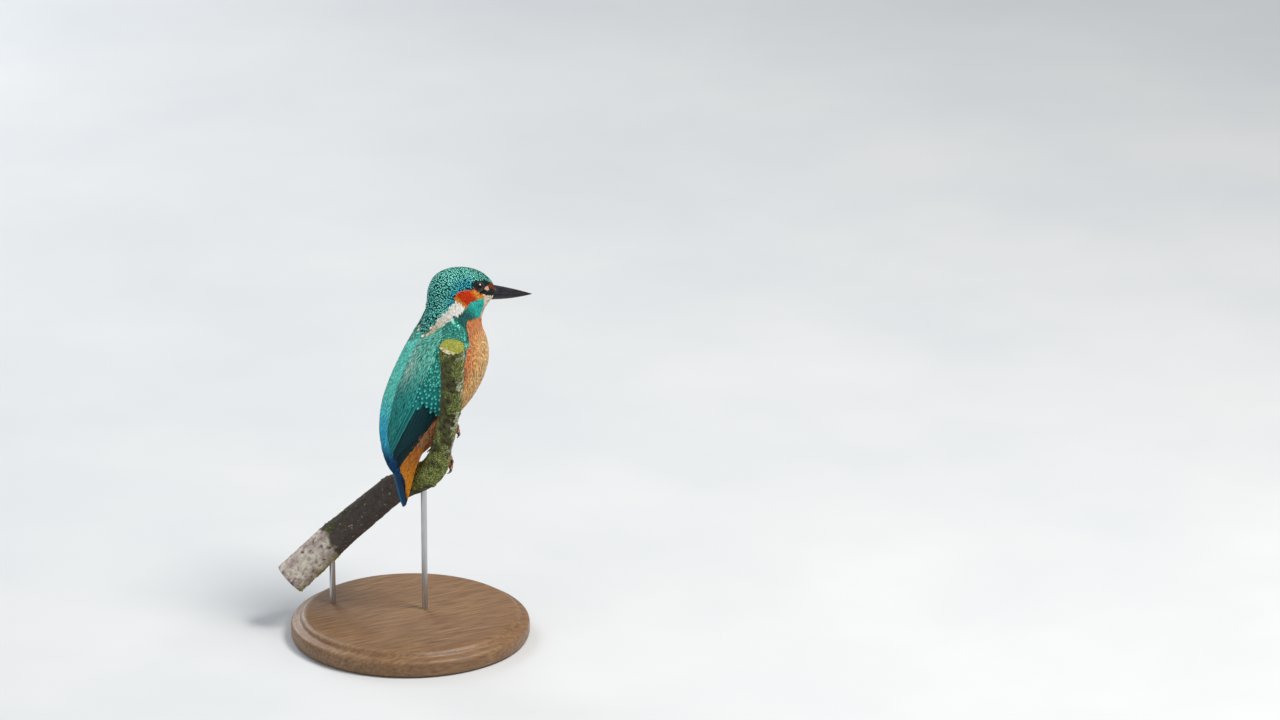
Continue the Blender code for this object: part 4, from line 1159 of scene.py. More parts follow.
def shoulder_tones(u, a):
    """Wing tones, brightest along the bend of the wing and darker just above it, where the darkening is
    painted shade under the neck.
    """
    base, _ = wing_tones(u, a, (0, 0, 0))
    past = below_shoulder(u, a)
    bright = np.exp(-((past - 0.05) / 0.11) ** 2)
    base = mixed(base, (0.17, 0.74, 0.57), 0.9 * bright) * (1 - 0.45 * smooth(-past, 0.06, 0.3))[:, None]
    mark = mixed((0.10, 0.38, 0.29), (0.27, 0.86, 0.68), bright)
    return base, mark * (1 - 0.4 * smooth(-past, 0.06, 0.3))[:, None]


def streaked(s, c):
    """A pale streak down one side of the shaft, fading before the tip."""
    return (1 - smooth(np.abs(c - 0.1), 0.05, 0.75)) * smooth(s, 0.35, 0.6) * (1 - 0.5 * smooth(s, 0.85, 1.0))


def bent(paths, t):
    """Points and slopes of quadratic curves: (1 - t)^2 a + 2 t (1 - t) b + t^2 c."""
    a, b, c = (paths[:, k][:, None] for k in range(3))
    t = t[None, :, None]
    return (1 - t) ** 2 * a + 2 * t * (1 - t) * b + t**2 * c, 2 * (1 - t) * (b - a) + 2 * t * (c - b)


def quills(name, paths, half, height, base, mark, mask, material, surface, home, rows=20, columns=9,
           pointed=2.4, camber=0.16, patch=0.012, facing=1):
    """Long stiff feathers. Each shaft is a quadratic curve on a surface; the vane spreads to both sides of it
    by a half width that opens from the root and closes round the tip, and arches over the shaft."""
    t = np.linspace(0, 1, rows + 1) ** 0.85
    c = np.linspace(-facing, facing, columns)
    centre, slope = bent(np.asarray(paths, float), t)
    at = centre.reshape(-1, 2)
    ways = slope.reshape(-1, 2)
    level = np.zeros(len(at))
    first, second = slopes(lambda u, a: surface(u, a, level), at[:, 0], at[:, 1], 0.01)
    outward = unit(np.cross(second, first))
    lie = unit(ways[:, :1] * first + ways[:, 1:] * second)
    side_steps = np.stack(steps_along(np.cross(outward, lie), first, second), -1).reshape(centre.shape)
    shape = outline_of(t, 0.45, pointed)
    wide = np.asarray(half)[:, None, None] * shape[None, :, None] * c[None, None]
    wide = wide * (1 + 0.03 * np.sin(t * 37.0 + np.arange(len(paths))[:, None])[:, :, None])
    spots = centre[:, :, None] + wide[..., None] * side_steps[:, :, None]
    shafts = surface(at[:, 0], at[:, 1], level).reshape(centre.shape[:2] + (3,))
    reach = np.linalg.norm(np.diff(shafts, axis=1), axis=2)
    far = np.concatenate([np.zeros((len(paths), 1)), np.cumsum(reach, axis=1)], axis=1)
    far = np.broadcast_to(far[:, :, None], wide.shape)
    tall = (np.asarray(height)[:, None, None] + camber * (1 - c[None, None] ** 2)
            - 0.35 * (1 - smooth(t, 0.0, 0.35))[None, :, None])
    flat = spots.reshape(-1, 2)
    places = surface(flat[:, 0], flat[:, 1], tall.ravel()).reshape(wide.shape + (3,))
    share = np.broadcast_to(mask(t[:, None], c[None]), wide.shape[1:])
    colours = mixed(np.asarray(base)[:, None, None], np.asarray(mark)[:, None, None],
                    np.broadcast_to(share, wide.shape))
    made = woven(name, places, colours, far, wide, home[:, 0], home[:, 1], material, patch)
    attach(made, "root")
    return made


def on_folded_wing(u, a, height):
    """The bird's surface where a wing lies on it, `height` above the
    wing's own surface, and its tips' beyond it."""
    u = np.clip(u, 0.0, 18.9)
    lift = wing_height(np.minimum(u, 14.6), a) * (1 - smooth(u, 14.6, 15.6))
    return on_bird(u, a, np.maximum(lift, 0.6 * smooth(u, 12.4, 13.4)) + height)


def both_wings(right, lower=0.0):
    """Control points (ring, degrees) of the right wing's feathers, and their mirror images for the left,
    moved from the back's middle line by `lower` degrees there and by none at the flank."""
    right = np.array(right, float)
    left = right * (1, 1 - lower / 90) + (0, lower)
    return np.concatenate([right * (1, -np.pi / 180), left * (1, np.pi / 180)])


def edged(s, c):
    """A thin bright line along both edges, round to the tip."""
    return smooth(np.abs(c), 0.7, 0.95) * smooth(s, 0.15, 0.3)


def home_of(paths):
    """Where on the unrolled skin feathers are rooted: the ring's share
    of all, and the angle's share of a turn."""
    return np.stack([paths[:, 0, 0] / LAST_RING, (paths[:, 0, 1] / (2 * np.pi)) % 1.0], axis=-1)


flight_paint = plumage_paint("flight_plumage", spacing=0.30, dark=0.80, light=1.15, rough=0.60, sheen=0.0,
                             bump=0.4, specular=0.12)


def flight_feathers(name, right, half, top, drop, base, edge, material, pointed, camber, lower=0.0):
    """Both wings' stiff feathers of a kind, each lying `drop` under the one before it, the first at `top`."""
    paths = both_wings(right, lower)
    order = np.tile(np.arange(len(right)), 2)
    base = base(paths) if callable(base) else np.tile(base, (len(paths), 1))
    quills(name, paths, np.full(len(paths), half), top - drop * order, base, np.tile(edge, (len(paths), 1)),
           edged, material, on_folded_wing, home_of(paths), pointed=pointed, camber=camber)


flight_feathers(
    "wing_primaries",
    [[(11.4, 56 + 4.1 * i), (13.6, 51 + 4.9 * i), (16.0 - 0.12 * i, 41 + 3.6 * i)] for i in range(8)],
    half=1.75, top=-0.30, drop=0.045, base=(0.006, 0.020, 0.025), edge=(0.009, 0.070, 0.080),
    material=flight_paint, pointed=2.0, camber=0.04)
flight_feathers(
    "wing_secondaries",
    [[(10.9, 48 + 5.6 * i), (12.9, 46 + 6.0 * i), (15.35 - 0.24 * i, 32 + 6.9 * i)] for i in range(7)],
    half=2.35, top=0.08, drop=0.065, base=(0.005, 0.030, 0.040), edge=(0.014, 0.105, 0.118),
    material=flight_paint, pointed=2.6, camber=0.04)
flight_feathers(
    "wing_tertials",
    [[(9.8 + 0.2 * i, 14 + 8 * i), (12.0 + 0.15 * i, 12 + 8 * i), (14.15 + 0.20 * i, 10.5 + 2.75 * i)]
     for i in range(5)],
    half=2.3, top=0.50, drop=0.08, edge=(0.075, 0.50, 0.42), material=gloss_paint, pointed=2.8, camber=0.05,
    base=lambda paths: wing_tones(paths[:, 1, 0], paths[:, 1, 1], (0, 0, 0))[0] * 0.9, lower=15.0)

u, a = rooted((9.4, 13.2), (-90, 90), 2.5, 2.2, on_wing(6.6), 6.6, 0.07)
vanes("coat_greater_coverts", u, a, 6.6, 3.1, spotted, gloss_paint, depth=0.75, rows=12, columns=9,
      ragged=0.03, swing=wing_swing(u, a), over=wing_height, raised=0.16, wander=0.04, camber=0.06,
      shade=0.75, tone=wing_tones(u, a, (0.12, 0.70, 0.62), 0.25 * smooth(u, 11.0, 12.4)))
u, a = rooted((6.9, 10.6), (-90, 90), 1.7, 1.5, on_wing(4.2), 4.2)
vanes("coat_lesser_coverts", u, a, 4.2, 2.1, spotted, gloss_paint, depth=0.75, rows=9, columns=7,
      ragged=0.05, swing=wing_swing(u, a), over=wing_height, raised=0.26, wander=0.08, camber=0.06,
      shade=0.75, tone=wing_tones(u, a, (0.14, 0.66, 0.54)))


def on_scapulars(u, a):
    """True on the wing from its back edge as far out as the scapulars reach at each ring."""
    reach = np.interp(u, [8.0, 9, 10.5, 11.8, 13.0, 13.9, 14.4], [47, 45, 40, 38, 34, 22, 10])
    return (markings(u, a) == WINGS) & (wing_share(u, a) > 0.05) & (np.abs(np.degrees(a)) < reach)


u, a = rooted((7.7, 13.9), (-50, 50), 1.25, 0.85, on_scapulars, 5.0)
degrees = np.abs(np.degrees(a))
grey = np.exp(-((degrees - 13) / 9) ** 2 - ((u - 9.9) / 0.9) ** 2)
above_coverts = np.interp(u, [8.0, 9.4, 10.6, 11.6, 13.6], [0.35, 0.55, 0.80, 0.85, 0.80])
vanes("coat_scapulars", u, a, np.interp(u, [8, 9.5, 12, 13.6], [4.4, 6.0, 6.5, 5.0]),
      np.interp(u, [8, 9.5, 12], [1.10, 1.15, 1.1]), streaked, gloss_paint, depth=0.9, rows=9, columns=5,
      ragged=0.14, swing=wing_swing(u, a), over=wing_height,
      tone=(mixed((0.075, 0.37, 0.29), (0.015, 0.215, 0.200), smooth(u, 8.6, 11.4)),
            mixed(mixed((0.24, 0.68, 0.55), (0.05, 0.37, 0.33), smooth(u, 9.2, 11.4)), (0.60, 0.80, 0.68),
                  grey)),
      raised=above_coverts[:, None, None] - 0.2 * (a > 0)[:, None, None], pointed=1.6, wander=0.12,
      camber=0.05, shade=0.75)


def on_shoulder(u, a):
    """True on the bend of the wing and a little to both sides of it, where no other plumage grows."""
    share = wing_share(u, a)
    others = np.isin(markings(u, a), (WHITE, CROWN, BREAST, EAR, BACK))
    return (share > -0.25) & (share < 1.2) & ~others


u, a = rooted((6.6, 8.3), (-88, 88), 1.0, 0.9, on_shoulder, 2.9)
vanes("coat_shoulder", u, a, 2.9, 1.45, tipped, gloss_paint, depth=0.7, rows=6, columns=5, ragged=0.10,
      swing=wing_swing(u, a), over=wing_height, tone=shoulder_tones(shown(u, a, 2.9), a), raised=0.25,
      camber=0.07)

# ---------------------------------------------------------------- the tail
# Twelve short stiff feathers, ultramarine above and dark grey below. They are folded into a stack with the
# middle pair on top and the outer ones under them, rooted in the rump's skin.
TAIL = np.array([
    (-31.9, 1.0, 3.6, 0.6), (-31.0, -1.6, 4.6, 0.8), (-29.9, -6.4, 5.2, 0.9), (-28.6, -12.1, 5.1, 0.8),
    (-27.2, -18.4, 4.4, 0.7), (-26.0, -23.4, 3.1, 0.6), (-25.0, -27.1, 1.2, 0.4),
])
TAIL_DROOP = 0.7


def on_tail(v, y, height):
    """The tail's upper face: the table's middle line, lowered towards
    its sides, then `height` out from it."""
    fine = np.linspace(0, 6, 121)
    rows = rows_at(TAIL, fine)
    along = unit(np.gradient(rows[:, :2], axis=0))
    v = np.clip(v, 0, 6)
    x, z, half, thick, ax, az = (np.interp(v, fine, column) for column in (*rows.T, *along.T))
    share = np.clip(y / np.maximum(half, 3.0), -1.1, 1.1)
    lift = thick * np.sqrt(np.clip(1 - 0.75 * share**2, 0.1, 1)) - TAIL_DROOP * share**2 + height
    return np.stack([x + az * lift, y, z - ax * lift], axis=-1)


outer_first = np.array([5, 4, 3, 2, 1, 0])
spread = np.concatenate([-(outer_first + 0.45), outer_first + 0.45])
tail_paths = np.stack([
    np.stack([np.full(12, 0.2), spread * 0.45], -1),
    np.stack([np.full(12, 3.0), spread * 0.72], -1),
    np.stack([5.93 - 0.024 * np.abs(spread) ** 2, spread * 0.50], -1),
], axis=1)
tail_home = np.stack([np.full(12, 0.93), 0.5 + spread * 0.07], axis=-1)
tail_base = mixed((0.010, 0.050, 0.120), (0.008, 0.030, 0.060), smooth(np.abs(spread), 2, 5))
blue_paint = plumage_paint("tail_plumage", spacing=0.30, dark=0.80, light=1.2, rough=0.50, sheen=0.0,
                           bump=0.4, specular=0.20)
quills("tail_feathers", tail_paths, 1.75 - 0.08 * np.abs(spread), 0.02 - 0.115 * np.abs(spread), tail_base,
       np.tile((0.020, 0.15, 0.30), (12, 1)), shafted, blue_paint, on_tail, tail_home, rows=22, pointed=2.6,
       camber=0.12)
quills("tail_underside", tail_paths * (0.995, 0.97), 1.7 - 0.08 * np.abs(spread),
       -1.05 + 0.03 * np.abs(spread), np.tile((0.030, 0.034, 0.040), (12, 1)),
       np.tile((0.055, 0.060, 0.068), (12, 1)), shafted, flight_paint, on_tail, tail_home, rows=22,
       pointed=2.6, camber=-0.10, facing=-1)

# ---------------------------------------------------------------- the upper tail coverts
# Brilliant blue silky feathers that carry the back's stripe on over the tail's root, where they end in a
# ragged edge.
u, a = rooted((15.0, 17.6), (-54, 54), 1.3, 1.0, on_stripe, 5.0)
vanes("coat_tail_coverts", u, a, np.interp(u, [15.0, 17.6], [6.5, 5.0]), 1.8, shafted, gloss_paint, rows=9,
      columns=5, ragged=0.09, pointed=1.8, raised=0.25, camber=0.07,
      tone=tones(np.full(u.shape, BACK), shown(u, a, 5.0), a))

# ---------------------------------------------------------------- the bill
# A straight dagger of dark horn in two halves, ridged along the top, with a slit nostril each side by its
# base, faint growth streaks and a worn, slightly paler cutting edge. A purple-grey highlight is painted
# along the upper half's ridge, and the lower half is painted darker as shade.
BILL_TOP = np.array([28.1, 80.6])
BILL_BOTTOM = np.array([25.8, 73.9])
BILL_TIP = np.array([50.8, 71.5])
BILL_HALF_WIDTH = 3.3
GAPE = BILL_BOTTOM + (BILL_TOP - BILL_BOTTOM) * 0.52
horn_paint, tree, shader = blank("bill_horn")
streak = speckle(tree, 900.0, 4.0, 0.6, (0.12, 1.0, 1.0))
cloud = speckle(tree, 260.0, 3.0, 0.5)
edge = masks_of(tree, "wear_and_painted_light")
horn = ramped(tree, streak,
              [(0.32, (0.006, 0.006, 0.008)), (0.55, (0.013, 0.013, 0.018)), (0.75, (0.034, 0.034, 0.044))])
# Purple-grey on the worn cutting edges and, as a painted highlight, along the ridge; the lower half painted
# near black as shade; the nostril slits dark.
horn = blended(tree, reckoned(tree, "MULTIPLY", edge[0], 0.5), horn, (0.060, 0.062, 0.082))
horn = blended(tree, edge[2], horn, (0.003, 0.003, 0.003))
horn = blended(tree, edge[1], horn, (0.004, 0.004, 0.005))
horn = blended(tree, ramped(tree, cloud, [(0.45, 0.0), (0.75, 0.35)]), horn, (0.055, 0.050, 0.052))
finished(tree, shader, horn, ramped(tree, streak, [(0.3, 0.34), (0.7, 0.50)]), streak, 0.35, 0.00012)
shader.inputs["Specular IOR Level"].default_value = 0.24


def mandible(name, is_upper):
    """Half a bill: along u from base to tip the section shrinks as (1 - u)^0.92; round it, from one cutting
    edge over the ridge to the other, then back along the flat inside."""
    u = np.linspace(-0.07, 0.998, 90)
    sign = 1 if is_upper else -1
    ridge = BILL_TOP if is_upper else BILL_BOTTOM
    bulge = 0.35 if is_upper else 0.75
    mouth = BILL_TIP + (GAPE - BILL_TIP) * (1 - u)[:, None]
    edge_line = BILL_TIP + (ridge - BILL_TIP) * (1 - u)[:, None]
    edge_line[:, 1] += sign * bulge * np.sin(np.pi * np.clip(u, 0, 1)) ** 0.8
    depth = edge_line - mouth + np.array([0.0, sign * 0.10]) * u[:, None]
    mouth = mouth + np.array([0.0, sign * 0.04])
    turn = np.linspace(0, np.pi, 37)
    width = BILL_HALF_WIDTH * (1 - u) ** 0.92 + 0.16
    sin = np.sin(turn)[None]
    arch = sin**0.9 + 0.05 * np.exp(-((turn - np.pi / 2) / 0.16) ** 2)[None] * (1 - u)[:, None]
    hollow = 0.05 * np.exp(-((np.abs(np.cos(turn)) - 0.72) / 0.16) ** 2)[None]
    hollow = 1 - hollow * smooth(1 - u, 0.25, 0.8)[:, None]
    slit = np.zeros((90, 37))
    if is_upper:
        slit = np.exp(-((u[:, None] - 0.15) / 0.055) ** 4 - ((np.abs(np.cos(turn))[None] - 0.80) / 0.07) ** 2)
    half = width[:, None] * np.cos(turn)[None] * hollow * (1 - 0.16 * slit)
    roof = np.stack([mouth[:, :1] + depth[:, :1] * arch, half, mouth[:, 1:] + depth[:, 1:] * arch], axis=-1)
    share = np.linspace(0, 1, 9)[1:-1]
    floor_part = roof[:, -1:] * (1 - share)[None, :, None] + roof[:, :1] * share[None, :, None]
    rings = np.concatenate([roof, floor_part], axis=1)
    if not is_upper:
        rings = rings[:, ::-1]
    by_edge = np.exp(-(np.minimum(turn, np.pi - turn) / 0.16) ** 2)[None] * (0.5 + 0.5 * u[:, None])
    # A painted highlight along the ridge, weaker on the lower half.
    ridge_highlight = 0.8 * np.exp(-((turn - np.pi / 2) / 0.35) ** 2)[None] * smooth(u, 0.0, 0.3)[:, None]
    ridge_highlight = ridge_highlight * (1.0 if is_upper else 0.3)
    inside = np.zeros((90, 7))
    # Three layers: worn edges with the painted ridge highlight, the nostril slits, and the lower half's
    # painted shade.
    worn_and_painted_light = np.stack([
        np.concatenate([np.clip(by_edge + ridge_highlight, 0, 1), inside], axis=1),
        np.concatenate([slit, inside], axis=1),
        np.full(rings.shape[:2], 0.0 if is_upper else 0.75),
    ], axis=-1)
    if not is_upper:
        worn_and_painted_light = worn_and_painted_light[:, ::-1]
    sunk = 1 - 0.25 * (1 - smooth(u, -0.07, 0.0))[:, None, None]
    heart = rings.mean(axis=1, keepdims=True)
    points, quads, ends = ringed(turned(heart + (rings - heart) * sunk))
    made = solid(f"{name}_horn", points, quads, ends, [horn_paint])
    tinted(made, "wear_and_painted_light", np.concatenate([worn_and_painted_light.reshape(-1, 3), [[0, 0, 0], [1, 0, 0]]]))
    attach(made, "root")
    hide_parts(name)


mandible("bill_upper", True)
mandible("bill_lower", False)

# ---------------------------------------------------------------- the eyes and lids
# Dark brown eyes, as clear and glossy as glass, set in the head so that a third of each stands out, with
# a black pupil. A soft ring of bare dark lid closes round each one.
EYE_SPOT = (3.37, np.radians(70.0))
LID_SIDES = 14
AROUND_EYE = 64
eye_paint, tree, shader = blank("eye_glass")
zone = masks_of(tree, "iris")
rays = speckle(tree, 2600.0, 3.0, 0.6)
iris = ramped(tree, rays, [(0.3, (0.008, 0.004, 0.002)), (0.7, (0.032, 0.014, 0.007))])
finished(tree, shader, blended(tree, zone[0], (0.0015, 0.0015, 0.0018), iris),
         ramped(tree, rays, [(0.3, 0.06), (0.7, 0.11)]), rays, 0.02, 0.00005)
shader.inputs["Coat Weight"].default_value = 0.25
shader.inputs["Coat Roughness"].default_value = 0.03
shader.inputs["Specular IOR Level"].default_value = 0.35
lid_paint, tree, shader = blank("bare_lid")
wrinkle = speckle(tree, 3200.0, 3.0, 0.6)
finished(tree, shader, ramped(tree, wrinkle, [(0.3, (0.010, 0.010, 0.010)), (0.7, (0.040, 0.040, 0.038))]),
         ramped(tree, wrinkle, [(0.3, 0.42), (0.7, 0.62)]), wrinkle, 0.5, 0.0001)
for side_name, sign in (("left", 1), ("right", -1)):
    centre = turned(EYE * (1, sign, 1))
    front = turned(body(np.array([EYE_SPOT[0]]), np.array([EYE_SPOT[1] * sign])))[0]
    axis = unit(front - centre)
    first = unit(np.cross(axis, (0, 0, 1)))
    second = np.cross(axis, first)
    lat = np.linspace(0.02, np.pi - 0.02, 40)
    lon = np.arange(AROUND_EYE) * 2 * np.pi / AROUND_EYE
    ring = ways_out(lon, first, second)
    bulge = EYE_RADIUS * (1 + 0.035 * np.exp(-(lat / 0.42) ** 2))
    directions = np.sin(lat)[:, None, None] * ring + np.cos(lat)[:, None, None] * axis
    ball = centre + bulge[:, None, None] * directions
    points, quads, ends = ringed(ball[::-1])
    made = solid(f"eye_{side_name}_glass", points, quads, ends, [eye_paint])
    outside_pupil = smooth(lat[::-1], 0.36, 0.42)
    tinted(made, "iris", np.append(np.repeat(outside_pupil, AROUND_EYE), [1.0, 0.0])[:, None] * np.ones(3))
    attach(made, "root")
    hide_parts(f"eye_{side_name}")
    opening = np.arcsin(LID_RADIUS / EYE_RADIUS)
    rim = centre + (EYE_RADIUS + 0.10) * (np.sin(opening) * ring + np.cos(opening) * axis)
    oval = 1 + 0.06 * np.cos(2 * (lon - 0.2))[:, None]
    forward = axis * ((rim - centre) @ axis)[:, None]
    rim = centre + forward + (rim - centre - forward) * oval
    outwards = unit(rim - centre)
    away = unit(rim - centre - axis * ((rim - centre) @ axis)[:, None])
    section = np.arange(LID_SIDES) * 2 * np.pi / LID_SIDES
    thick = 0.25 + 0.05 * np.cos(lon * 2 + 0.4)[:, None, None]
    lid = rim[:, None] + thick * (1.5 * np.cos(section)[None, :, None] * away[:, None]
                                  + np.sin(section)[None, :, None] * (outwards - 0.15 * away)[:, None])
    index = np.arange(AROUND_EYE * LID_SIDES).reshape(AROUND_EYE, LID_SIDES)
    after = np.roll(index, -1, axis=0)
    quads = np.stack([index, after, np.roll(after, -1, axis=1), np.roll(index, -1, axis=1)],
                     axis=-1).reshape(-1, 4)
    faces_out = np.cross(lid[1, 0] - lid[0, 0], lid[0, 1] - lid[0, 0]) @ (lid[0, 0] - rim[0]) > 0
    if not faces_out:
        quads = quads[:, ::-1]
    made = solid(f"lid_{side_name}", lid, quads, (), [lid_paint])
    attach(made, "root")

# ---------------------------------------------------------------- the feet
# Short legs and coral-red toes, three forward and one back, with plates across their tops and pads below;
# the skin's coat thins out over the leg and stops above the toes. The claws are dark curved horn.
FEET = {"right": (59.5, (-9.2, -12.7, 21.0), 8.0), "left": (84.5, (-7.6, 4.2, 9.6), 30.0)}
TOE_RADIUS = 1.0
TOE_SPACING = 1.75
TOES = {"inner": (1.0, 52.0), "middle": (0.0, 82.0), "outer": (-1.0, 70.0), "hind": (0.1, -40.0)}
CLAW_LENGTH = 3.3
CLAW_RADIUS = 0.62
CLEAR = 0.3


def branch_at(distance):
    """The branch's middle point, the way up it and its radius, at a distance from its top."""
    up = unit(middle_at(distance - 1.5) - middle_at(distance + 1.5))
    return middle_at(distance), up, np.interp(distance, run, girth)


def grip(foot, across, degrees, clear):
    """Points round the branch from the ankle, shifted up it by `across`, `clear` above the bark."""
    distance, root, turn_by = FEET[foot]
    middle, up, radius = branch_at(distance)
    towards = np.asarray(root) - middle
    near = unit(towards - up * np.dot(towards, up))
    ankle = near * np.cos(np.radians(turn_by)) + np.cross(near, up) * np.sin(np.radians(turn_by))
    onward = np.cross(ankle, up)
    round_it = ways_out(np.radians(np.asarray(degrees, float)), ankle, onward)
    shift = np.asarray(across, float).reshape(-1, 1) * up
    return middle + shift + (radius * 1.05 + np.reshape(clear, (-1, 1))) * round_it


def toe_line(foot, toe, clear, shares):
    """A toe's middle line: it spreads from the ankle, runs round the branch and slants down it."""
    across, reach = TOES[toe]
    degrees = reach * np.asarray(shares)
    spread_now = TOE_SPACING * across * np.clip(degrees / 25 + 0.35, 0, 1)
    slant = -np.sign(reach) * (degrees / 90) ** 2
    return grip(foot, spread_now + slant, degrees, clear)


def limb(path, radii, outward, plates, sides=20):
    """A tube along a path. Its section is a circle, raised in `plates` steps along its outer side and in
    soft pads under it, and drawn in at the joints between them."""
    along = unit(np.gradient(path, axis=0))
    up = unit(outward - along * (outward * along).sum(1, keepdims=True))
    side = np.cross(along, up)
    angle = np.arange(sides) * 2 * np.pi / sides
    share = np.linspace(0, 1, len(path))
    step = (share * plates) % 1.0
    plate = 0.055 * (smooth(step, 0.0, 0.25) - smooth(step, 0.8, 1.0))
    pad = 0.10 * np.abs(np.sin(share * np.pi * 3)) ** 0.7
    top = np.clip(np.cos(angle), 0, 1)[None] ** 0.5
    sole = np.clip(-np.cos(angle), 0, 1)[None]
    r = radii[:, None] * (1 + plate[:, None] * top + (pad[:, None] - 0.06) * sole)
    return path[:, None] + r[..., None] * ways_out(angle, up, side)


foot_shells = []
claw_shells = []
legs = {}
for foot, (distance, root, _) in FEET.items():
    middle_now = branch_at(distance)[0]
    for toe in TOES:
        shares = np.linspace(-0.06, 1.0, 46)
        path = toe_line(foot, toe, TOE_RADIUS + CLEAR - 0.05, shares)
        thick = np.interp(shares, np.linspace(-0.06, 1.0, 9),
                          TOE_RADIUS * np.array([0.7, 1.0, 1.08, 1.0, 0.96, 1.02, 0.94, 0.9, 0.62]))
        foot_shells.append((limb(path, thick, path - middle_now, 14 if toe != "hind" else 8), 1.0))
        beyond = 1 + np.degrees(np.linspace(-0.25, CLAW_LENGTH, 22) / 7.2) / abs(TOES[toe][1])
        at = np.linspace(0, 6, 22)
        heights = np.interp(at, range(7),
                            TOE_RADIUS * np.array([1.0, 1.12, 1.1, 0.98, 0.8, 0.55, 0.25]) + 0.42)
        claw = toe_line(foot, toe, heights, beyond)
        thin = np.interp(at, range(7), CLAW_RADIUS * np.array([0.95, 1.0, 0.88, 0.72, 0.55, 0.36, 0.10]))
        claw_shells.append(limb(claw, thin, claw - middle_now, 0.0, 14))
    ankle = grip(foot, [0.0], [0.0], TOE_RADIUS + CLEAR)[0]
    outwards = unit(ankle - middle_now)
    start = ankle - outwards * 0.5
    bend = ankle + outwards * 2.3
    rise = np.linspace(0, 1, 34)[:, None]
    beyond_root = np.asarray(root) + unit(np.asarray(root) - bend) * 1.5
    route = (1 - rise) ** 2 * start + 2 * rise * (1 - rise) * bend + rise**2 * beyond_root
    length = np.linalg.norm(np.diff(route, axis=0), axis=1).sum()
    thick = np.interp(rise[:, 0], [0, 0.12, 0.3, 0.55, 0.8, 1.0],
                      np.array([1.25, 1.25, 1.12, 1.3, 1.9, 2.2]) * min(1.0, 0.5 + 0.05 * length))
    foot_shells.append((limb(route, thick, np.tile(branch_at(distance)[1], (34, 1)), 9), 0.8))
    hip = np.array([-13.0, -6.0 if foot == "right" else 6.0, 24.0])
    leg_line = rows_at([hip, root, (np.asarray(root) + bend) / 2, start], np.linspace(0, 3, 60))
    legs[foot] = leg_line, branch_at(distance)[1]

# ---------------------------------------------------------------- the thighs' feathers
# Short soft rusty feathers in staggered rings round each leg, from inside the belly's coat down to the
# ankle. Each lies over the next one down and is paler at its loose end.
for foot, (line, up_way) in legs.items():
    along = unit(np.gradient(line, axis=0))
    up = unit(up_way - along * (along @ up_way)[:, None])
    frame_lines = np.concatenate([line, up, np.cross(along, up)], axis=1)
    share = np.linspace(0, 1, len(line))

    def on_thigh(u, a, height):
        """Round the leg: a cone that narrows from the hip, deep in the
        body, to the ankle, `height` out from it."""
        now = np.stack([np.interp(u, share, column) for column in frame_lines.T], axis=-1)
        radius = np.interp(u, [0, 0.33, 0.5, 0.67, 0.85, 1], [3.6, 4.0, 3.2, 2.2, 1.7, 1.5])
        radius = (radius + height)[:, None]
        return now[:, :3] + radius * (np.cos(a)[:, None] * now[:, 3:6] + np.sin(a)[:, None] * now[:, 6:])

    row, place_round = [g.ravel() for g in np.meshgrid(np.arange(7), np.arange(13), indexing="ij")]
    begin = 0.16 + 0.075 * row + rng.uniform(-0.015, 0.015, len(row))
    angle = (place_round + 0.5 * (row % 2) + rng.uniform(-0.15, 0.15, len(row))) * 2 * np.pi / 13
    paths = np.stack([np.stack([begin + step, angle], -1) for step in (0.0, 0.10, 0.20)], axis=1)
    tint = mixed((0.66, 0.30, 0.085), (0.60, 0.22, 0.05), row / 6)
    quills(f"coat_thigh_{foot}", paths, 0.85 - 0.03 * row, np.full(len(row), 0.05), tint,
           mixed(tint, (0.82, 0.62, 0.40), 0.4), tipped, soft_paint, on_thigh,
           np.stack([0.70 + 0.08 * begin, 0.5 + (0.1 if foot == "left" else -0.1) + 0.012 * angle], -1),
           rows=6, columns=3, pointed=1.7, camber=0.05, patch=0.003)

# ---------------------------------------------------------------- the skin
# One skin covers head, neck, trunk, folded wings, the tail's root, legs and toes. It lies as deep under
# the feathers' surface as the coat is thick there and has the same markings; toes and legs are bare.
skin_u = np.linspace(0.0, 18.9, 190)
skin_a = np.linspace(0, 2 * np.pi, 144, endpoint=False)
grid_u, grid_a = np.meshgrid(skin_u, skin_a, indexing="ij")
flat_u = grid_u.ravel()
flat_a = (grid_a.ravel() + np.pi) % (2 * np.pi) - np.pi
skin_points = on_bird(flat_u, flat_a, wing_height(flat_u, flat_a) * 0.6 - coat_depth(flat_u))
# The skin takes the markings' base colours darkened to 0.55: partly the greyer down under the coat, partly
# painted shade in the gaps between feathers.
under = tones(markings(flat_u, flat_a), flat_u, flat_a)[0] * 0.55
shells = [(skin_points.reshape(grid_u.shape + (3,)), under.reshape(grid_u.shape + (3,)), 0.0)]
across = np.linspace(-0.92, 0.92, 13)
v = np.linspace(0, 5.5, 40)
half = rows_at(TAIL, v)[:, 2]
flat_v, flat_y = np.repeat(v, 13), (half[:, None] * across[None]).ravel()
upper = on_tail(flat_v, flat_y, -0.6).reshape(40, 13, 3)
lower = on_tail(flat_v, flat_y, -0.85).reshape(40, 13, 3)[:, ::-1]
plate_rings = np.concatenate([upper, lower], axis=1)
shells.append((plate_rings, np.broadcast_to((0.01, 0.02, 0.04), plate_rings.shape), 0.0))
shells += [(rings, np.broadcast_to((0.52, 0.15, 0.075), rings.shape), bare) for rings, bare in foot_shells]
all_points, all_quads, all_ends, all_colours, all_bare = [], [], [], [], []
begun = 0
for rings, colours, bare in shells:
    points, quads, ends = ringed(rings)
    all_points.append(points)
    all_quads.append(quads + begun)
    all_ends.append(ends + begun)
    all_colours.append(np.concatenate([colours.reshape(-1, 3), colours[0, :1], colours[-1, :1]]))
    all_bare.append(np.full((len(points), 3), bare))
    begun += len(points)

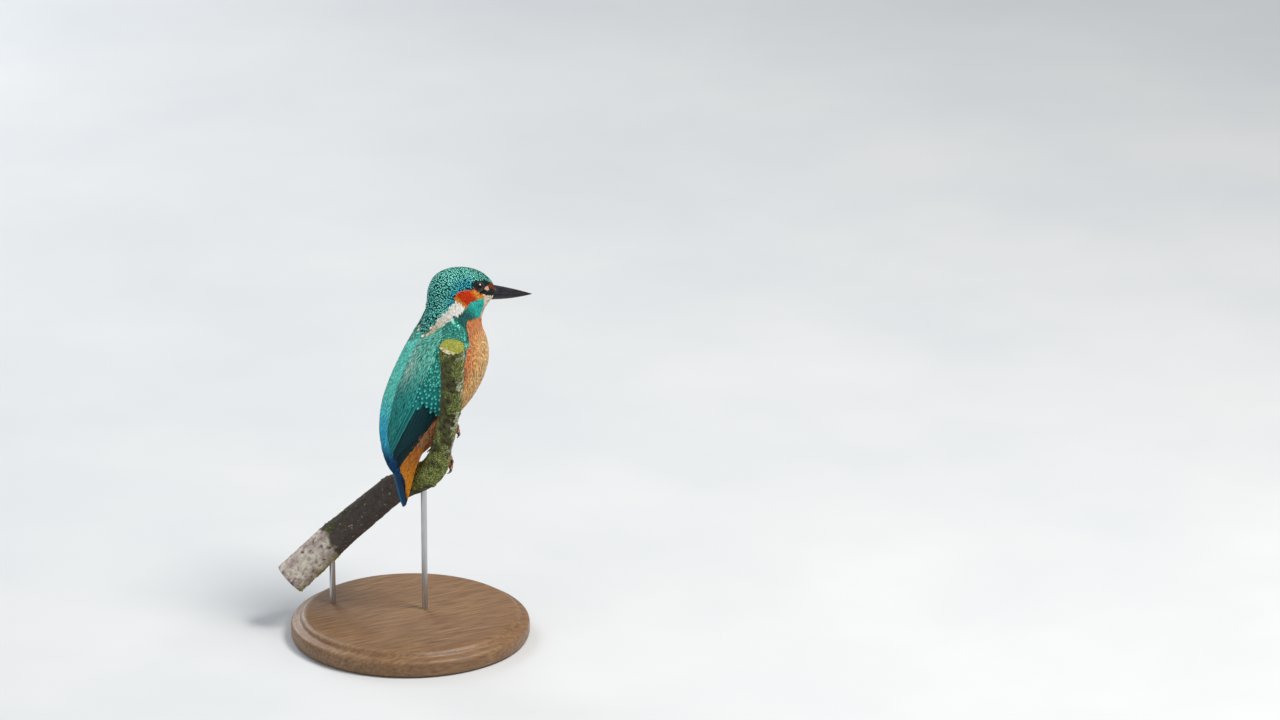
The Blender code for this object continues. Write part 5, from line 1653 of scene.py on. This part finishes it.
skin_paint, tree, shader = blank("feathered_skin")
tone = painted_on(tree, "plumage")
bare = masks_of(tree, "bare")[0]
down = speckle(tree, 2600.0, 4.0, 0.65)
spot = place(tree, "ShaderNodeTexCoord").outputs["Object"]
plates = place(tree, "ShaderNodeTexVoronoi", {"Vector": spot, "Scale": 2400.0},
               feature="DISTANCE_TO_EDGE").outputs["Distance"]
cracks = ramped(tree, plates, [(0.02, 0.0), (0.16, 1.0)])
scaly = blended(tree, cracks, blended(tree, 1.0, tone, (0.45, 0.35, 0.35), "MULTIPLY"),
                blended(tree, ramped(tree, down, [(0.35, 0.0), (0.7, 0.8)]), tone, (0.66, 0.27, 0.17)))
downy = blended(tree, down, tone, (0.02, 0.02, 0.02))
downy_rough = ramped(tree, down, [(0.2, 0.8), (0.8, 0.95)])
scaly_rough = ramped(tree, cracks, [(0.0, 0.70), (1.0, 0.42)])
finished(tree, shader, blended(tree, bare, downy, scaly), blended(tree, bare, downy_rough, scaly_rough),
         blended(tree, bare, down, cracks), 0.6, 0.00012)
skin = solid("skin", np.concatenate(all_points), np.concatenate(all_quads), np.concatenate(all_ends),
             [skin_paint])
tinted(skin, "plumage", np.concatenate(all_colours))
tinted(skin, "bare", np.concatenate(all_bare))
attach(skin, "root")
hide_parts("head", "neck", "trunk", "tail", "wing_left", "wing_right", "leg_left", "leg_right",
            "foot_left",
            "foot_right")

# ---------------------------------------------------------------- the claws
# Eight short curved claws of dark horn, one at the end of each toe, tapering to a point that presses on
# the bark.
claw_paint, tree, shader = blank("claw_horn")
grain = speckle(tree, 1800.0, 4.0, 0.6)
finished(tree, shader, ramped(tree, grain, [(0.3, (0.012, 0.010, 0.009)), (0.7, (0.060, 0.048, 0.040))]),
         ramped(tree, grain, [(0.3, 0.30), (0.7, 0.46)]), grain, 0.3, 0.0001)
for rings, (foot, toe) in zip(claw_shells, [(foot, toe) for foot in FEET for toe in TOES]):
    made = solid(f"claw_{foot}_{toe}_horn", *ringed(rings), [claw_paint])
    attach(made, "root")
    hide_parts(f"claw_{foot}_{toe}")

# ---------------------------------------------------------------- the moss
# Short leafy shoots of living moss, up to 0.6 mm tall. They stand on the mossy parts of the bark and
# round the rim of the sawn top, and are fewer and shorter where the feet grip.
moss_paint, tree, shader = blank("moss_shoots")
fleck = speckle(tree, 1800.0, 3.0, 0.6)
leafy = blended(tree, 1.0, painted_on(tree, "plumage"), ramped(tree, fleck, [(0.3, 0.7), (0.7, 1.25)]),
                "MULTIPLY")
finished(tree, shader, leafy, ramped(tree, fleck, [(0.3, 0.75), (0.7, 0.95)]), fleck, 0.5, 0.0001)
shader.inputs["Specular IOR Level"].default_value = 0.2
span = np.broadcast_to(run[:, None], moss.shape)
toe_zone = (span > FEET_SPAN[0] - 3) & (span < FEET_SPAN[1] + 3)
chance = np.where(toe_zone, 0.03, 0.17) * moss * (0.3 + 0.7 * upper_part)
chance = np.maximum(chance, 0.5 * (span < 1.2))
picked = np.argwhere(rng.random(moss.shape) < chance * 0.9)
row, column = picked[:, 0], picked[:, 1]
stand = bark_grid[row, column]
outward = unit(spoke[row, column] + 0.45 * rng.normal(size=(len(row), 3)))
tall = rng.uniform(0.20, 0.60, len(row)) * np.where(toe_zone[row, column], 0.5, 1.0)
thick = rng.uniform(0.10, 0.18, len(row))
first = unit(np.cross(outward, (0.3, 0.2, 0.9)))
second = np.cross(outward, first)
# A shoot is a five-sided spike: rings at shares of its height, each with a share of its width, along a
# line that bows aside by the square of the height.
levels = np.array([(-0.12, 0.8), (0.35, 1.0), (0.75, 0.7), (1.0, 0.12)])
high, wide = levels.T[:, None, :, None, None]
corners = np.arange(5) * 2 * np.pi / 5
bow = first * rng.uniform(-0.3, 0.3, len(row))[:, None]
round_shoot = ways_out(corners, first[:, None], second[:, None])
shoot = (stand[:, None, None] + outward[:, None, None] * high * tall[:, None, None, None]
         + (bow * tall[:, None])[:, None, None] * high**2 + wide * thick[:, None, None, None] * round_shoot)
index = np.arange(shoot[..., 0].size).reshape(shoot.shape[:3])
after = np.roll(index, -1, axis=2)
quads = np.stack([index[:, :-1], after[:, :-1], after[:, 1:], index[:, 1:]], axis=-1).reshape(-1, 4)
ends = np.concatenate([index[:, 0, ::-1], index[:, -1]])
shoots = solid("perch_moss", shoot, quads, ends, [moss_paint])
tint = mixed((0.055, 0.085, 0.016), (0.26, 0.27, 0.06), rng.random(len(row)) ** 1.5)[:, None, None]
tint = tint * (0.55 + 0.5 * levels[:, 0].clip(0))[None, :, None, None]
tinted(shoots, "plumage", (tint * np.ones((1, 1, 5, 1))).reshape(-1, 3))
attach(shoots, "root")
